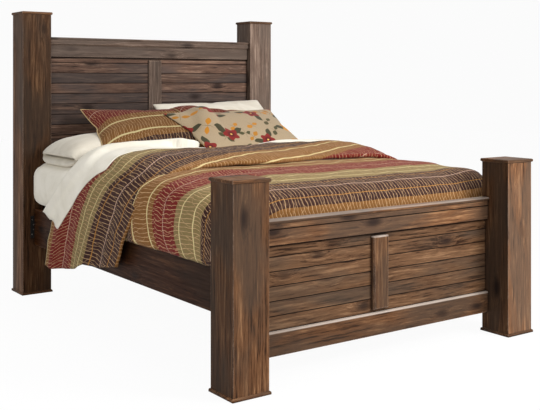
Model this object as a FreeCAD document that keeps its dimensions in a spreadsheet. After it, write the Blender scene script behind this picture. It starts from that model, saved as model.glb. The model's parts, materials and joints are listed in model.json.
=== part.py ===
import FreeCAD, Part
import math
import os
import re

# Poster bed with plank panels, hook-on side rails, slats, box spring, mattress and bedding.
# X runs across the bed, Y from the foot to the head, Z up from the floor, in millimetres.
# The origin is the centre of the floor area that the bed covers.

# Driving dimensions, kept in the sheet under these names
SIZES = {
    # posts with their caps and base plates
    "post_pitch": 1615,
    "post_width": 175,
    "post_depth": 168,
    "post_wall": 20,
    "post_edge_round": 2.5,
    "head_post_height": 1671,
    "foot_post_height": 870,
    "cap_thickness": 16,
    "cap_overhang": 6,
    "cap_edge_round": 6,
    "base_thickness": 14,
    "base_overhang": 6,
    "base_edge_round": 7,
    "plug_height": 12,
    "plug_clearance": 0.4,
    # side rails between the posts, with the ledgers that carry the slats
    "rail_span": 2083,
    "rail_inset": 68,
    "rail_thickness": 25,
    "rail_height": 210,
    "rail_bottom": 292,
    "rail_edge_round": 3,
    "ledger_thickness": 24,
    "ledger_height": 38,
    "ledger_lift": 4,
    "ledger_end_gap": 40,
    # plank panels, the same at the head and the foot
    "plank_pitch": 62.8,
    "plank_thickness": 13,
    "plank_bevel": 2,
    "back_panel_thickness": 5,
    "panel_groove_depth": 8,
    "panel_clearance": 0.2,
    "mullion_width": 91,
    "mullion_end_gap": 15,
    "mullion_bevel": 5,
    "panel_edge_round": 2,
    # footboard
    "foot_rail_setback": 128,
    "foot_rail_thickness": 38,
    "foot_plank_setback": 18,
    "foot_mullion_thickness": 21,
    "foot_cap_top": 676,
    "foot_cap_thickness": 17,
    "foot_cap_front_overhang": 7,
    "foot_cap_back_overhang": 2,
    "foot_cap_edge_round": 6,
    "foot_top_rail_bottom": 567,
    "score_height": 634,
    "score_width": 3,
    "score_depth": 3,
    "foot_bottom_rail_bottom": 100,
    "foot_bottom_rail_top": 202,
    "foot_bottom_rail_round": 9,
    # headboard
    "head_rail_setback": 31,
    "head_rail_thickness": 34,
    "head_plank_setback": 12,
    "head_mullion_thickness": 14,
    "crown_top": 1524,
    "crown_thickness": 15,
    "crown_setback": 17,
    "crown_back_overhang": 4,
    "crown_edge_round": 5,
    "moulding_bottom": 1475,
    "moulding_setback": 20,
    "moulding_cove": 9,
    "frieze_bottom": 1407,
    "head_bottom_rail_top": 430,
    "head_bottom_rail_bottom": 330,
    # dowels between the panel rails and the posts
    "dowel_radius": 5,
    "dowel_length": 50,
    "dowel_post_depth": 15,
    "dowel_edge": 26,
    "dowel_clearance": 0.1,
    # hook plates in the rail ends and slotted plates on the posts
    "hook_plate_thickness": 3,
    "hook_plate_width": 20,
    "hook_plate_height": 130,
    "hook_thickness": 3,
    "hook_height": 30,
    "hook_lip": 8,
    "hook_lip_depth": 6,
    "hook_pitch": 84,
    "hook_clearance": 0.3,
    "slot_plate_thickness": 2.5,
    "slot_plate_width": 48,
    "slot_plate_outboard": 22,
    "plate_screw_radius": 2,
    "plate_screw_head_radius": 4,
    "plate_screw_head_height": 1.8,
    "post_screw_length": 15,
    "rail_screw_length": 35,
    "screw_zigzag_near": 5,
    "screw_zigzag_far": 13.5,
    "post_screw_pitch": 29,
    "rail_screw_pitch": 30,
    "screw_clearance": 0.1,
    # slats and their screws
    "slat_width": 90,
    "slat_thickness": 19,
    "slat_end_gap": 2,
    "slat_end_setback": 130,
    "slat_screw_length": 40,
    "slat_screw_pitch": 56,
    "ledger_screw_length": 42,
    "ledger_screw_setback": 180,
    # centre legs with screw levellers
    "leg_width": 45,
    "leg_floor_gap": 22,
    "leg_screw_pitch": 24,
    "insert_radius": 6,
    "insert_length": 18,
    "stud_radius": 4,
    "stud_length": 55,
    "stud_bore_radius": 5,
    "stud_bore_length": 60,
    "stud_clearance": 0.05,
    "collar_width": 13,
    "collar_height": 6,
    "pad_radius": 16,
    "pad_height": 7,
    "pad_edge_round": 2,
    "spigot_radius": 3,
    "spigot_length": 4,
    # box spring, mattress and sheets
    "soft_gap": 0.3,
    "box_spring_side_gap": 40,
    "box_spring_height": 150,
    "box_spring_padding": 12,
    "box_spring_corner": 40,
    "box_spring_edge": 10,
    "mattress_overhang": 3,
    "mattress_height": 290,
    "mattress_padding": 20,
    "mattress_corner": 120,
    "mattress_edge": 100,
    "mattress_foot_sink": 115,
    "mattress_sink_length": 300,
    "bed_foot_gap": 30,
    "bed_head_gap": 21,
    "sheet_thickness": 3,
    # quilt: thickness on the sides and the foot, extra height of the gathered head part, depth of folds
    "quilt_thickness": 18,
    "quilt_gather": 100,
    "quilt_fold_depth": 24,
    "quilt_shoulder": 250,
    # cushions: outside sizes, then the place of each centre: across the bed, in from the head
    # posts' front face and up from the sheet
    "cushion_edge": 12,
    "pillow_width": 770,
    "pillow_depth": 480,
    "pillow_thickness": 172,
    "sham_width": 780,
    "sham_depth": 510,
    "sham_thickness": 100,
    "throw_cushion_width": 755,
    "throw_cushion_depth": 487,
    "throw_cushion_thickness": 115,
    "pillow_left_across": -430,
    "pillow_left_inward": 251,
    "pillow_left_up": 74,
    "pillow_right_across": 360,
    "pillow_right_inward": 201,
    "pillow_right_up": 169,
    "sham_left_across": -216,
    "sham_left_inward": 347,
    "sham_left_up": 187,
    "sham_right_across": 400,
    "sham_right_inward": 351,
    "sham_right_up": 178,
    "throw_cushion_across": 280,
    "throw_cushion_inward": 476,
    "throw_cushion_up": 184,
    # how far every cut runs past the faces it opens
    "overrun": 2,
}

# Sizes that follow from the ones above: the mattress and the box spring fit the bed
DERIVED = {
    "mattress_length": "rail_span - bed_foot_gap - bed_head_gap",
    "mattress_width": "post_pitch + post_width - 2 * rail_inset + 2 * mattress_overhang",
    "box_spring_width":
        "post_pitch + post_width - 2 * rail_inset - 2 * rail_thickness - 2 * box_spring_side_gap",
}

# Two levels nearer than this count as one
TOUCH = 1e-6

# Counts and angles
SLAT_COUNT = 5
LEG_SLATS = (1, 2, 3)
LEDGER_SCREW_COUNT = 5
CUSHION_TILT = {
    "pillow_left": 0, "pillow_right": 39, "sham_left": 24, "sham_right": 27, "throw_cushion": 22,
}
CUSHION_TURN = {
    "pillow_left": 0, "pillow_right": 0, "sham_left": -10, "sham_right": 0, "throw_cushion": 2,
}

# Side view of the quilt and of the turned-down sheet: share of the mattress length from its foot
# end, then share of the height of the sheet's top above the floor
QUILT_SIDE_SHARES = (
    (-0.02, 1.3), (0.735, 1.3), (0.735, 1.0), (0.86, 0.59), (0.862, 0.27), (0.70, 0.32),
    (0.615, 0.39), (0.46, 0.45), (0.415, 0.47), (0.395, 0.635), (-0.02, 0.635),
)
SHEET_SIDE_SHARES = (
    (0.545, 1.3), (0.511, 1.046), (0.605, 0.898), (0.667, 0.752), (0.757, 0.568), (0.927, 0.65),
    (0.764, 0.875), (0.692, 1.01), (0.758, 1.08), (0.758, 1.3),
)

# The mattress sinks at its foot under the tucked covers: share of the sunk length from the foot end,
# share of the full sink
FOOT_SINK_SHARES = ((-0.1, 1.2), (0.27, 0.45), (1.0, 0.0))

# Stations of the covers along the mattress: share of its length, share of the gathered height,
# share of the fold depth on the sides, share of the full shoulder round. They fall away at the foot,
# step up at the fold, swell and sink again towards the pillows
COVER_STATION_SHARES = (
    (0.008, -1.05, 0.2, 0.39), (0.023, -0.74, 0.2, 0.39), (0.055, -0.41, 0.2, 0.39),
    (0.105, -0.20, 0.3, 0.39), (0.20, -0.05, 0.2, 0.39), (0.32, 0.08, 0.2, 0.39),
    (0.335, 0.33, 0.6, 1.0), (0.375, 0.70, 0.9, 1.0), (0.44, 0.86, 0.6, 1.0), (0.52, 0.97, 1.1, 1.0),
    (0.60, 0.98, 0.7, 1.0), (0.66, 0.88, 1.1, 1.0), (0.71, 0.66, 0.6, 1.0), (0.76, 0.45, 1.0, 1.0),
    (0.84, 0.45, 0.6, 1.0), (0.90, 0.45, 1.0, 1.0), (0.97, 0.45, 0.6, 1.0),
)

# The quilt's own foot end, behind the footboard: share of the gathered height, of the folds, of the shoulder
FOOT_END_SHARES = (-1.55, 0.0, 0.39)

# The loose filling under the swollen head part runs between these shares of the mattress length
FILLING_SHARES = (0.36, 0.72)

# Shape of a cushion along its depth: share of the half depth, of the full thickness, of the half width
CUSHION_STATION_SHARES = (
    (-1.0, 0.0, 1.0), (-0.88, 0.40, 0.98), (-0.5, 0.88, 0.96), (0.0, 1.0, 0.955),
    (0.5, 0.88, 0.96), (0.88, 0.40, 0.98), (1.0, 0.0, 1.0),
)

doc = FreeCAD.newDocument("PosterBed")
sheet = doc.addObject("Spreadsheet::Sheet", "sizes")
for row, (name, length) in enumerate(SIZES.items(), start=1):
    sheet.set(f"A{row}", name)
    sheet.set(f"B{row}", str(length))
    sheet.setAlias(f"B{row}", name)
for row, (name, text) in enumerate(DERIVED.items(), start=len(SIZES) + 1):
    sheet.set(f"A{row}", name)
    sheet.set(f"B{row}", "=" + text)
    sheet.setAlias(f"B{row}", name)
doc.recompute()

# The sub-parts that are written out, by file name
nodes = {}

# Places that many pieces share, as expressions in the sheet's names
FOOT_FRONT = "(-rail_span / 2 - post_depth)"
FOOT_BACK = "(-rail_span / 2)"
HEAD_FRONT = "(rail_span / 2)"
PANEL_WIDTH = "(post_pitch - post_width)"
PANEL_LEFT = "(-(post_pitch - post_width) / 2)"
RAIL_OUTER = "(post_pitch / 2 + post_width / 2 - rail_inset)"
RAIL_INNER = "(post_pitch / 2 + post_width / 2 - rail_inset - rail_thickness)"
LEDGER_BOTTOM = "(rail_bottom + ledger_lift)"
SLAT_BOTTOM = "(rail_bottom + ledger_lift + ledger_height)"
SLAT_TOP = "(rail_bottom + ledger_lift + ledger_height + slat_thickness)"
HOOK_MIDDLE = "(rail_bottom + rail_height / 2)"
PLANK_DEPTH = "(plank_thickness + back_panel_thickness + 2 * panel_clearance)"

# Turns that lay a cylinder's axis along each direction
ALONG = {
    "+X": FreeCAD.Rotation(FreeCAD.Vector(0, 1, 0), 90),
    "-X": FreeCAD.Rotation(FreeCAD.Vector(0, 1, 0), -90),
    "+Y": FreeCAD.Rotation(FreeCAD.Vector(1, 0, 0), -90),
    "-Y": FreeCAD.Rotation(FreeCAD.Vector(1, 0, 0), 90),
    "+Z": FreeCAD.Rotation(),
    "-Z": FreeCAD.Rotation(FreeCAD.Vector(1, 0, 0), 180),
}
SIDES = {"left": -1, "right": 1}


def formula(text):
    """Put the sheet's name before every size that an expression uses."""
    known = SIZES.keys() | DERIVED.keys()
    return re.sub(r"[a-z_]+", lambda word: "sizes." + word[0] if word[0] in known else word[0], text)


def size(text):
    """Work out an expression in the sheet's names as a number."""
    return float(sheet.evalExpression(formula(text)))


def bind(feature, prop, text):
    feature.setExpression(prop, formula(text))


def place(feature, at):
    for axis, text in zip("xyz", at):
        bind(feature, "Placement.Base." + axis, text)


def new_body(label, at):
    """Start a sub-part whose own corner stands at the given place."""
    body = doc.addObject("PartDesign::Body", label)
    body.Label = label
    place(body, at)
    nodes[label] = body
    return body


def block(body, dims, at=("0", "0", "0"), cut=False):
    """Add a rectangular block to a body, or cut one away."""
    kind = "PartDesign::SubtractiveBox" if cut else "PartDesign::AdditiveBox"
    feature = body.newObject(kind, body.Name + "_block")
    for prop, text in zip(("Length", "Width", "Height"), dims):
        bind(feature, prop, text)
    place(feature, at)
    doc.recompute()
    return feature


def rod(body, radius, length, at, direction, cut=True):
    """Cut a round hole out of a body along a direction, or add a round bar."""
    kind = "PartDesign::SubtractiveCylinder" if cut else "PartDesign::AdditiveCylinder"
    feature = body.newObject(kind, body.Name + "_rod")
    bind(feature, "Radius", radius)
    bind(feature, "Height", length)
    feature.Placement = FreeCAD.Placement(FreeCAD.Vector(), ALONG[direction])
    place(feature, at)
    doc.recompute()
    return feature


def edges_on(shape, face):
    """Name the edges that lie in one outer face of a shape, such as +Z."""
    low = {"X": shape.BoundBox.XMin, "Y": shape.BoundBox.YMin, "Z": shape.BoundBox.ZMin}
    high = {"X": shape.BoundBox.XMax, "Y": shape.BoundBox.YMax, "Z": shape.BoundBox.ZMax}
    axis = face[1].lower()
    level = (high if face[0] == "+" else low)[face[1]]
    names = set()
    for number, edge in enumerate(shape.Edges, start=1):
        if all(math.isclose(getattr(v.Point, axis), level, abs_tol=TOUCH) for v in edge.Vertexes):
            names.add(f"Edge{number}")
    return names


def soften(body, feature, edges, amount, kind="Fillet"):
    """Round or bevel the named edges of a body's last feature."""
    dressing = body.newObject("PartDesign::" + kind, body.Name + "_" + kind.lower())
    dressing.Base = (feature, sorted(edges))
    bind(dressing, "Radius" if kind == "Fillet" else "Size", amount)
    doc.recompute()
    return dressing


def upright_edges(shape):
    """Name the four corner edges of a block that stand along Z."""
    return (edges_on(shape, "-X") | edges_on(shape, "+X")) - edges_on(shape, "+Z") - edges_on(shape, "-Z")


def long_edges(shape):
    """Name the four edges of a block that run along X."""
    return (edges_on(shape, "-Z") | edges_on(shape, "+Z")) - edges_on(shape, "+X") - edges_on(shape, "-X")


def group(label, shapes):
    """Hold several separate solids of one kind in one sub-part."""
    feature = doc.addObject("Part::Feature", label)
    feature.Label = label
    feature.Shape = Part.makeCompound(shapes)
    feature.Placement = FreeCAD.Placement()
    nodes[label] = feature


def soft(label, shape):
    """Hold one lofted soft solid where it was made."""
    feature = doc.addObject("Part::Feature", label)
    feature.Label = label
    feature.Shape = shape
    feature.Placement = shape.Placement
    nodes[label] = feature


def point(at):
    return FreeCAD.Vector(*(size(text) for text in at))


def pin(radius, length, at, direction):
    """Make a plain round bar as a shape, starting at a point."""
    axis = ALONG[direction].multVec(FreeCAD.Vector(0, 0, 1))
    return Part.makeCylinder(size(radius), size(length), point(at), axis)


def screw(length, at, direction):
    """Make a flat-headed screw whose head's underside sits at a point."""
    back = ALONG[direction].multVec(FreeCAD.Vector(0, 0, -1))
    radius = size("plate_screw_head_radius")
    head = Part.makeCylinder(radius, size("plate_screw_head_height"), point(at), back)
    return pin("plate_screw_radius", length, at, direction).fuse(head).removeSplitter()


# Where each panel rail is dowelled to the posts: place along Y, then the heights of its two dowels
def dowel_rows(end):
    front = FOOT_FRONT if end == "foot" else HEAD_FRONT
    middle = f"({front} + {end}_rail_setback + {end}_rail_thickness / 2)"
    if end == "foot":
        spans = (("foot_bottom_rail_bottom", "foot_bottom_rail_top"),
                 ("foot_top_rail_bottom", "(foot_cap_top - foot_cap_thickness)"))
    else:
        spans = (("head_bottom_rail_bottom", "head_bottom_rail_top"), ("frieze_bottom", "moulding_bottom"))
    heights = []
    for bottom, top in spans:
        heights.append(f"({bottom} + dowel_edge)")
        heights.append(f"({top} - dowel_edge)")
    return middle, heights


# Where the hook plates and slotted plates stand: the Y of the post face and the way the hooks point
def rail_ends():
    return (("foot", FOOT_BACK, -1), ("head", HEAD_FRONT, 1))


def hook_heights():
    return [f"({HOOK_MIDDLE} + {way} * hook_pitch / 2 - hook_height / 2)" for way in (-1, 1)]


def zigzag_screws(side):
    """Places of the four screws that hold a slotted plate, outboard of the rail's face."""
    places = []
    for number in range(4):
        out = "screw_zigzag_far" if number in (0, 3) else "screw_zigzag_near"
        height = f"({HOOK_MIDDLE} + ({number} - 3 / 2) * post_screw_pitch)"
        places.append((f"({side} * ({RAIL_OUTER} + {out}))", height))
    return places


def make_post(end, hand):
    side = SIDES[hand]
    front = FOOT_FRONT if end == "foot" else HEAD_FRONT
    height = f"({end}_post_height - cap_thickness - base_thickness)"
    corner = (f"{side} * post_pitch / 2 - post_width / 2", front, "base_thickness")
    body = new_body(f"{end}_post_{hand}", corner)
    feature = block(body, ("post_width", "post_depth", height))
    soften(body, feature, upright_edges(feature.Shape), "post_edge_round")
    hollow = ("post_width - 2 * post_wall", "post_depth - 2 * post_wall", f"{height} + 2 * overrun")
    block(body, hollow, ("post_wall", "post_wall", "-overrun"), cut=True)

    def local(at):
        return tuple(f"({text}) - ({base})" for text, base in zip(at, corner))

    # sockets for the dowels of the panel rails, in the wall that faces the panel
    middle, heights = dowel_rows(end)
    for level in heights:
        start = (f"{side} * (-{PANEL_LEFT} - overrun)", middle, level)
        rod(body, "dowel_radius + dowel_clearance", "dowel_post_depth + dowel_clearance + overrun",
            local(start), "+X" if side > 0 else "-X")

    # slots for the rail hooks and pilot holes for the plate screws, in the wall that faces the rail
    face, inward = {name: (y, way) for name, y, way in rail_ends()}[end]
    x_middle = f"{side} * ({RAIL_OUTER} - rail_thickness / 2)"
    for level in hook_heights():
        width = "(hook_thickness + 2 * hook_clearance)"
        depth = "(post_wall + 2 * overrun)"
        start_y = f"{face} - overrun" if inward > 0 else f"{face} - post_wall - overrun"
        start = (f"{x_middle} - {width} / 2", start_y, f"{level} - hook_lip - hook_clearance")
        block(body, (width, depth, "hook_height + hook_lip + 2 * hook_clearance"), local(start), cut=True)
    for across, level in zigzag_screws(side):
        start = (across, f"{face} - {inward} * overrun", level)
        rod(body, "plate_screw_radius + screw_clearance", "post_screw_length + overrun",
            local(start), "+Y" if inward > 0 else "-Y")


# The plug on a cap or a base plate, which fits the hollow of a post
PLUG = (
    "post_width - 2 * post_wall - 2 * plug_clearance",
    "post_depth - 2 * post_wall - 2 * plug_clearance",
    "plug_height",
)


def make_cap(end, hand):
    """A flat cap with a rounded rim and a plug that drops into the hollow post."""
    side = SIDES[hand]
    front = FOOT_FRONT if end == "foot" else HEAD_FRONT
    corner = (f"{side} * post_pitch / 2 - post_width / 2 - cap_overhang", f"{front} - cap_overhang",
              f"{end}_post_height - cap_thickness")
    body = new_body(f"{end}_post_cap_{hand}", corner)
    feature = block(body, ("post_width + 2 * cap_overhang", "post_depth + 2 * cap_overhang", "cap_thickness"))
    rims = edges_on(feature.Shape, "+Z") | edges_on(feature.Shape, "-Z")
    soften(body, feature, rims, "cap_edge_round")
    inset = "(cap_overhang + post_wall + plug_clearance)"
    block(body, PLUG, (inset, inset, "-plug_height"))


def make_base(end, hand):
    """A base plate with a rounded top rim and a plug that stands up into the hollow post."""
    side = SIDES[hand]
    front = FOOT_FRONT if end == "foot" else HEAD_FRONT
    corner = (f"{side} * post_pitch / 2 - post_width / 2 - base_overhang", f"{front} - base_overhang", "0")
    body = new_body(f"{end}_post_base_{hand}", corner)
    plate = ("post_width + 2 * base_overhang", "post_depth + 2 * base_overhang", "base_thickness")
    feature = block(body, plate)
    soften(body, feature, edges_on(feature.Shape, "+Z"), "base_edge_round")
    inset = "(base_overhang + post_wall + plug_clearance)"
    block(body, PLUG, (inset, inset, "base_thickness"))


def panel_rail(label, end, bottom, top, rounding, groove):
    """A rail across a panel, dowelled to the posts, with a groove for the planks on one edge."""
    front = FOOT_FRONT if end == "foot" else HEAD_FRONT
    body = new_body(label, (PANEL_LEFT, f"{front} + {end}_rail_setback", bottom))
    height = f"({top} - {bottom})"
    feature = block(body, (PANEL_WIDTH, f"{end}_rail_thickness", height))
    edge = edges_on(feature.Shape, "-Y") & edges_on(feature.Shape, groove)
    soften(body, feature, edge, rounding)
    slot_y = f"{end}_plank_setback - panel_clearance"
    slot_z = "-overrun" if groove == "-Z" else f"{height} - panel_groove_depth"
    block(body, (f"{PANEL_WIDTH} + 2 * overrun", PLANK_DEPTH, "panel_groove_depth + overrun"),
          ("-overrun", slot_y, slot_z), cut=True)
    for level in ("dowel_edge", f"{height} - dowel_edge"):
        for start, way in (("-overrun", "+X"), (f"{PANEL_WIDTH} + overrun", "-X")):
            rod(body, "dowel_radius + dowel_clearance",
                "dowel_length - dowel_post_depth + dowel_clearance + overrun",
                (start, f"{end}_rail_thickness / 2", level), way)
    return body


def make_planks(end, bottom, top):
    """A stack of bevelled planks held in the grooves of the two rails."""
    front = FOOT_FRONT if end == "foot" else HEAD_FRONT
    y_front = f"{front} + {end}_rail_setback + {end}_plank_setback"
    count = math.ceil(size(f"({top} - {bottom}) / plank_pitch"))
    planks = []
    for number in range(count):
        low = f"({bottom} + {number} * plank_pitch)" if number else f"({bottom} - panel_groove_depth)"
        high = f"({bottom} + {number + 1} * plank_pitch)"
        if number == count - 1:
            high = f"({top} + panel_groove_depth - panel_clearance)"
        label = f"{end}_plank_{number + 1}"
        body = new_body(label, (PANEL_LEFT, y_front, low))
        feature = block(body, (PANEL_WIDTH, "plank_thickness", f"{high} - {low}"))
        edges = edges_on(feature.Shape, "-Y") & long_edges(feature.Shape)
        soften(body, feature, edges, "plank_bevel", kind="Chamfer")
        planks.append(nodes.pop(label))
    stack = doc.addObject("Part::Compound", f"{end}board_planks")
    stack.Label = f"{end}board_planks"
    stack.Links = planks
    nodes[stack.Label] = stack


def make_back_panel(end, bottom, top):
    """A thin panel behind the planks, in the same grooves."""
    front = FOOT_FRONT if end == "foot" else HEAD_FRONT
    y_front = f"{front} + {end}_rail_setback + {end}_plank_setback + plank_thickness + panel_clearance"
    low = f"({bottom} - panel_groove_depth)"
    body = new_body(f"{end}board_back_panel", (PANEL_LEFT, y_front, low))
    height = f"{top} - {bottom} + 2 * panel_groove_depth - panel_clearance"
    block(body, (PANEL_WIDTH, "back_panel_thickness", height))


def make_mullion(end, bottom, top):
    """A bevelled upright strip on the middle of the planks."""
    front = FOOT_FRONT if end == "foot" else HEAD_FRONT
    y_front = f"{front} + {end}_rail_setback + {end}_plank_setback - {end}_mullion_thickness"
    body = new_body(f"{end}board_mullion", ("-mullion_width / 2", y_front, f"{bottom} + mullion_end_gap"))
    height = f"{top} - {bottom} - 2 * mullion_end_gap"
    feature = block(body, ("mullion_width", f"{end}_mullion_thickness", height))
    soften(body, feature, edges_on(feature.Shape, "-Y"), "mullion_bevel", kind="Chamfer")


def make_footboard():
    rail_top = "(foot_cap_top - foot_cap_thickness)"
    panel_rail("footboard_bottom_rail", "foot", "foot_bottom_rail_bottom", "foot_bottom_rail_top",
               "foot_bottom_rail_round", "+Z")
    top_rail = panel_rail("footboard_top_rail", "foot", "foot_top_rail_bottom", rail_top,
                          "panel_edge_round", "-Z")
    block(top_rail, (f"{PANEL_WIDTH} + 2 * overrun", "score_depth + overrun", "score_width"),
          ("-overrun", "-overrun", "score_height - foot_top_rail_bottom - score_width / 2"), cut=True)
    make_planks("foot", "foot_bottom_rail_top", "foot_top_rail_bottom")
    make_back_panel("foot", "foot_bottom_rail_top", "foot_top_rail_bottom")
    make_mullion("foot", "foot_bottom_rail_top", "foot_top_rail_bottom")
    front = f"{FOOT_FRONT} + foot_rail_setback - foot_cap_front_overhang"
    depth = "foot_rail_thickness + foot_cap_front_overhang + foot_cap_back_overhang"
    body = new_body("footboard_cap_rail", (PANEL_LEFT, front, rail_top))
    feature = block(body, (PANEL_WIDTH, depth, "foot_cap_thickness"))
    soften(body, feature, long_edges(feature.Shape), "foot_cap_edge_round")


def make_headboard():
    crown_bottom = "(crown_top - crown_thickness)"
    panel_rail("headboard_bottom_rail", "head", "head_bottom_rail_bottom", "head_bottom_rail_top",
               "panel_edge_round", "+Z")
    panel_rail("headboard_frieze_rail", "head", "frieze_bottom", "moulding_bottom", "panel_edge_round", "-Z")
    make_planks("head", "head_bottom_rail_top", "frieze_bottom")
    make_back_panel("head", "head_bottom_rail_top", "frieze_bottom")
    make_mullion("head", "head_bottom_rail_top", "frieze_bottom")
    back = "(head_rail_setback + head_rail_thickness)"
    front = f"{HEAD_FRONT} + moulding_setback"
    body = new_body("headboard_crown_moulding", (PANEL_LEFT, front, "moulding_bottom"))
    block(body, (PANEL_WIDTH, f"{back} - moulding_setback", f"{crown_bottom} - moulding_bottom"))
    rod(body, "moulding_cove", f"{PANEL_WIDTH} + 2 * overrun", ("-overrun", "0", "0"), "+X")
    body = new_body("headboard_crown_cap", (PANEL_LEFT, f"{HEAD_FRONT} + crown_setback", crown_bottom))
    feature = block(body, (PANEL_WIDTH, f"{back} + crown_back_overhang - crown_setback", "crown_thickness"))
    soften(body, feature, long_edges(feature.Shape), "crown_edge_round")


def make_dowels():
    dowels = []
    for end in ("foot", "head"):
        middle, heights = dowel_rows(end)
        for side in SIDES.values():
            for level in heights:
                start = (f"{side} * (-{PANEL_LEFT} + dowel_post_depth)", middle, level)
                dowels.append(pin("dowel_radius", "dowel_length", start, "-X" if side > 0 else "+X"))
    group("panel_dowels", dowels)


def rail_screw_heights():
    return [f"({HOOK_MIDDLE} + {way} * rail_screw_pitch / 2)" for way in (-1, 1)]


def make_side_rail(hand):
    """A rail board with a mortise at each end for its hook plate and screws."""
    side = SIDES[hand]
    x_low = f"{side} * ({RAIL_OUTER} - rail_thickness / 2) - rail_thickness / 2"
    corner = (x_low, f"{FOOT_BACK} + slot_plate_thickness", "rail_bottom")
    length = "(rail_span - 2 * slot_plate_thickness)"
    body = new_body(f"side_rail_{hand}", corner)
    feature = block(body, ("rail_thickness", length, "rail_height"))
    edges = (edges_on(feature.Shape, "+Z") | edges_on(feature.Shape, "-Z"))
    ends = edges_on(feature.Shape, "+Y") | edges_on(feature.Shape, "-Y")
    soften(body, feature, edges - ends, "rail_edge_round")
    inset = "(rail_thickness - hook_plate_width) / 2 - hook_clearance"
    mortise = ("hook_plate_width + 2 * hook_clearance", "hook_plate_thickness + overrun",
               "hook_plate_height + 2 * hook_clearance")
    low = "(rail_height - hook_plate_height) / 2 - hook_clearance"
    block(body, mortise, (inset, "-overrun", low), cut=True)
    block(body, mortise, (inset, f"{length} - hook_plate_thickness", low), cut=True)
    for level in rail_screw_heights():
        for start, way in (("-overrun", "+Y"), (f"{length} + overrun", "-Y")):
            rod(body, "plate_screw_radius + screw_clearance",
                "hook_plate_thickness + rail_screw_length + overrun",
                ("rail_thickness / 2", start, f"{level} - rail_bottom"), way)
    for along in ledger_screw_places():
        start = ("-overrun" if side > 0 else "rail_thickness + overrun", f"{along} - ({corner[1]})",
                 f"{LEDGER_BOTTOM} + ledger_height / 2 - rail_bottom")
        rod(body, "plate_screw_radius + screw_clearance",
            "ledger_screw_length - ledger_thickness + plate_screw_head_height + screw_clearance + overrun",
            start, "+X" if side > 0 else "-X")


def ledger_screw_places():
    step = f"((rail_span - 2 * ledger_screw_setback) / {LEDGER_SCREW_COUNT - 1})"
    start = f"{FOOT_BACK} + ledger_screw_setback"
    return [f"({start} + {number} * {step})" for number in range(LEDGER_SCREW_COUNT)]


def make_ledger(hand):
    """A strip screwed to the inside of a side rail, which carries the slat ends."""
    side = SIDES[hand]
    x_low = f"{side} * ({RAIL_INNER} - ledger_thickness / 2) - ledger_thickness / 2"
    corner = (x_low, f"{FOOT_BACK} + ledger_end_gap", LEDGER_BOTTOM)
    body = new_body(f"ledger_{hand}", corner)
    block(body, ("ledger_thickness", "rail_span - 2 * ledger_end_gap", "ledger_height"))
    inner_face = "-overrun" if side > 0 else "ledger_thickness + overrun"
    way = "+X" if side > 0 else "-X"
    for along in ledger_screw_places():
        start = (inner_face, f"{along} - ({corner[1]})", "ledger_height / 2")
        rod(body, "plate_screw_radius + screw_clearance", "ledger_thickness + 2 * overrun", start, way)
        rod(body, "plate_screw_head_radius + screw_clearance", "plate_screw_head_height + overrun",
            start, way)
    for number in range(SLAT_COUNT):
        for pair in (-1, 1):
            y = f"{slat_middle(number)} + {pair} * slat_screw_pitch / 2 - ({corner[1]})"
            rod(body, "plate_screw_radius + screw_clearance", "slat_screw_length - slat_thickness + overrun",
                ("ledger_thickness / 2", y, "ledger_height + overrun"), "-Z")


def slat_middle(number):
    step = f"((rail_span - 2 * slat_end_setback) / {SLAT_COUNT - 1})"
    return f"({FOOT_BACK} + slat_end_setback + {number} * {step})"


def slat_screw_places(number):
    """Places across the bed and along it of one slat's screws: two at each end, two into a leg."""
    ends = f"({RAIL_INNER} - ledger_thickness / 2)"
    middle = slat_middle(number)
    places = []
    for side in SIDES.values():
        for pair in (-1, 1):
            places.append((f"{side} * {ends}", f"{middle} + {pair} * slat_screw_pitch / 2"))
    if number in LEG_SLATS:
        for pair in (-1, 1):
            places.append((f"{pair} * leg_screw_pitch / 2", middle))
    return places


def make_slat(number):
    x_low = f"-{RAIL_INNER} + slat_end_gap"
    corner = (x_low, f"{slat_middle(number)} - slat_width / 2", SLAT_BOTTOM)
    body = new_body(f"slat_{number + 1}", corner)
    feature = block(body, (f"2 * {RAIL_INNER} - 2 * slat_end_gap", "slat_width", "slat_thickness"))
    soften(body, feature, long_edges(feature.Shape), "panel_edge_round")
    for x, y in slat_screw_places(number):
        start = (f"{x} - ({corner[0]})", f"{y} - ({corner[1]})", "slat_thickness + overrun")
        rod(body, "plate_screw_radius + screw_clearance", "slat_thickness + 2 * overrun", start, "-Z")
        rod(body, "plate_screw_head_radius + screw_clearance", "plate_screw_head_height + overrun",
            start, "-Z")


def make_slat_screws():
    """All the screws of the slatted base: slats to ledgers and legs, and ledgers to rails."""
    screws = []
    for number in range(SLAT_COUNT):
        for x, y in slat_screw_places(number):
            at = (x, y, f"{SLAT_TOP} - plate_screw_head_height")
            screws.append(screw("slat_screw_length - plate_screw_head_height - screw_clearance", at, "-Z"))
    for side in SIDES.values():
        for along in ledger_screw_places():
            head = f"{side} * ({RAIL_INNER} - ledger_thickness + plate_screw_head_height)"
            at = (head, along, f"{LEDGER_BOTTOM} + ledger_height / 2")
            way = "+X" if side > 0 else "-X"
            screws.append(screw("ledger_screw_length - plate_screw_head_height", at, way))
    group("slat_and_ledger_screws", screws)


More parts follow.
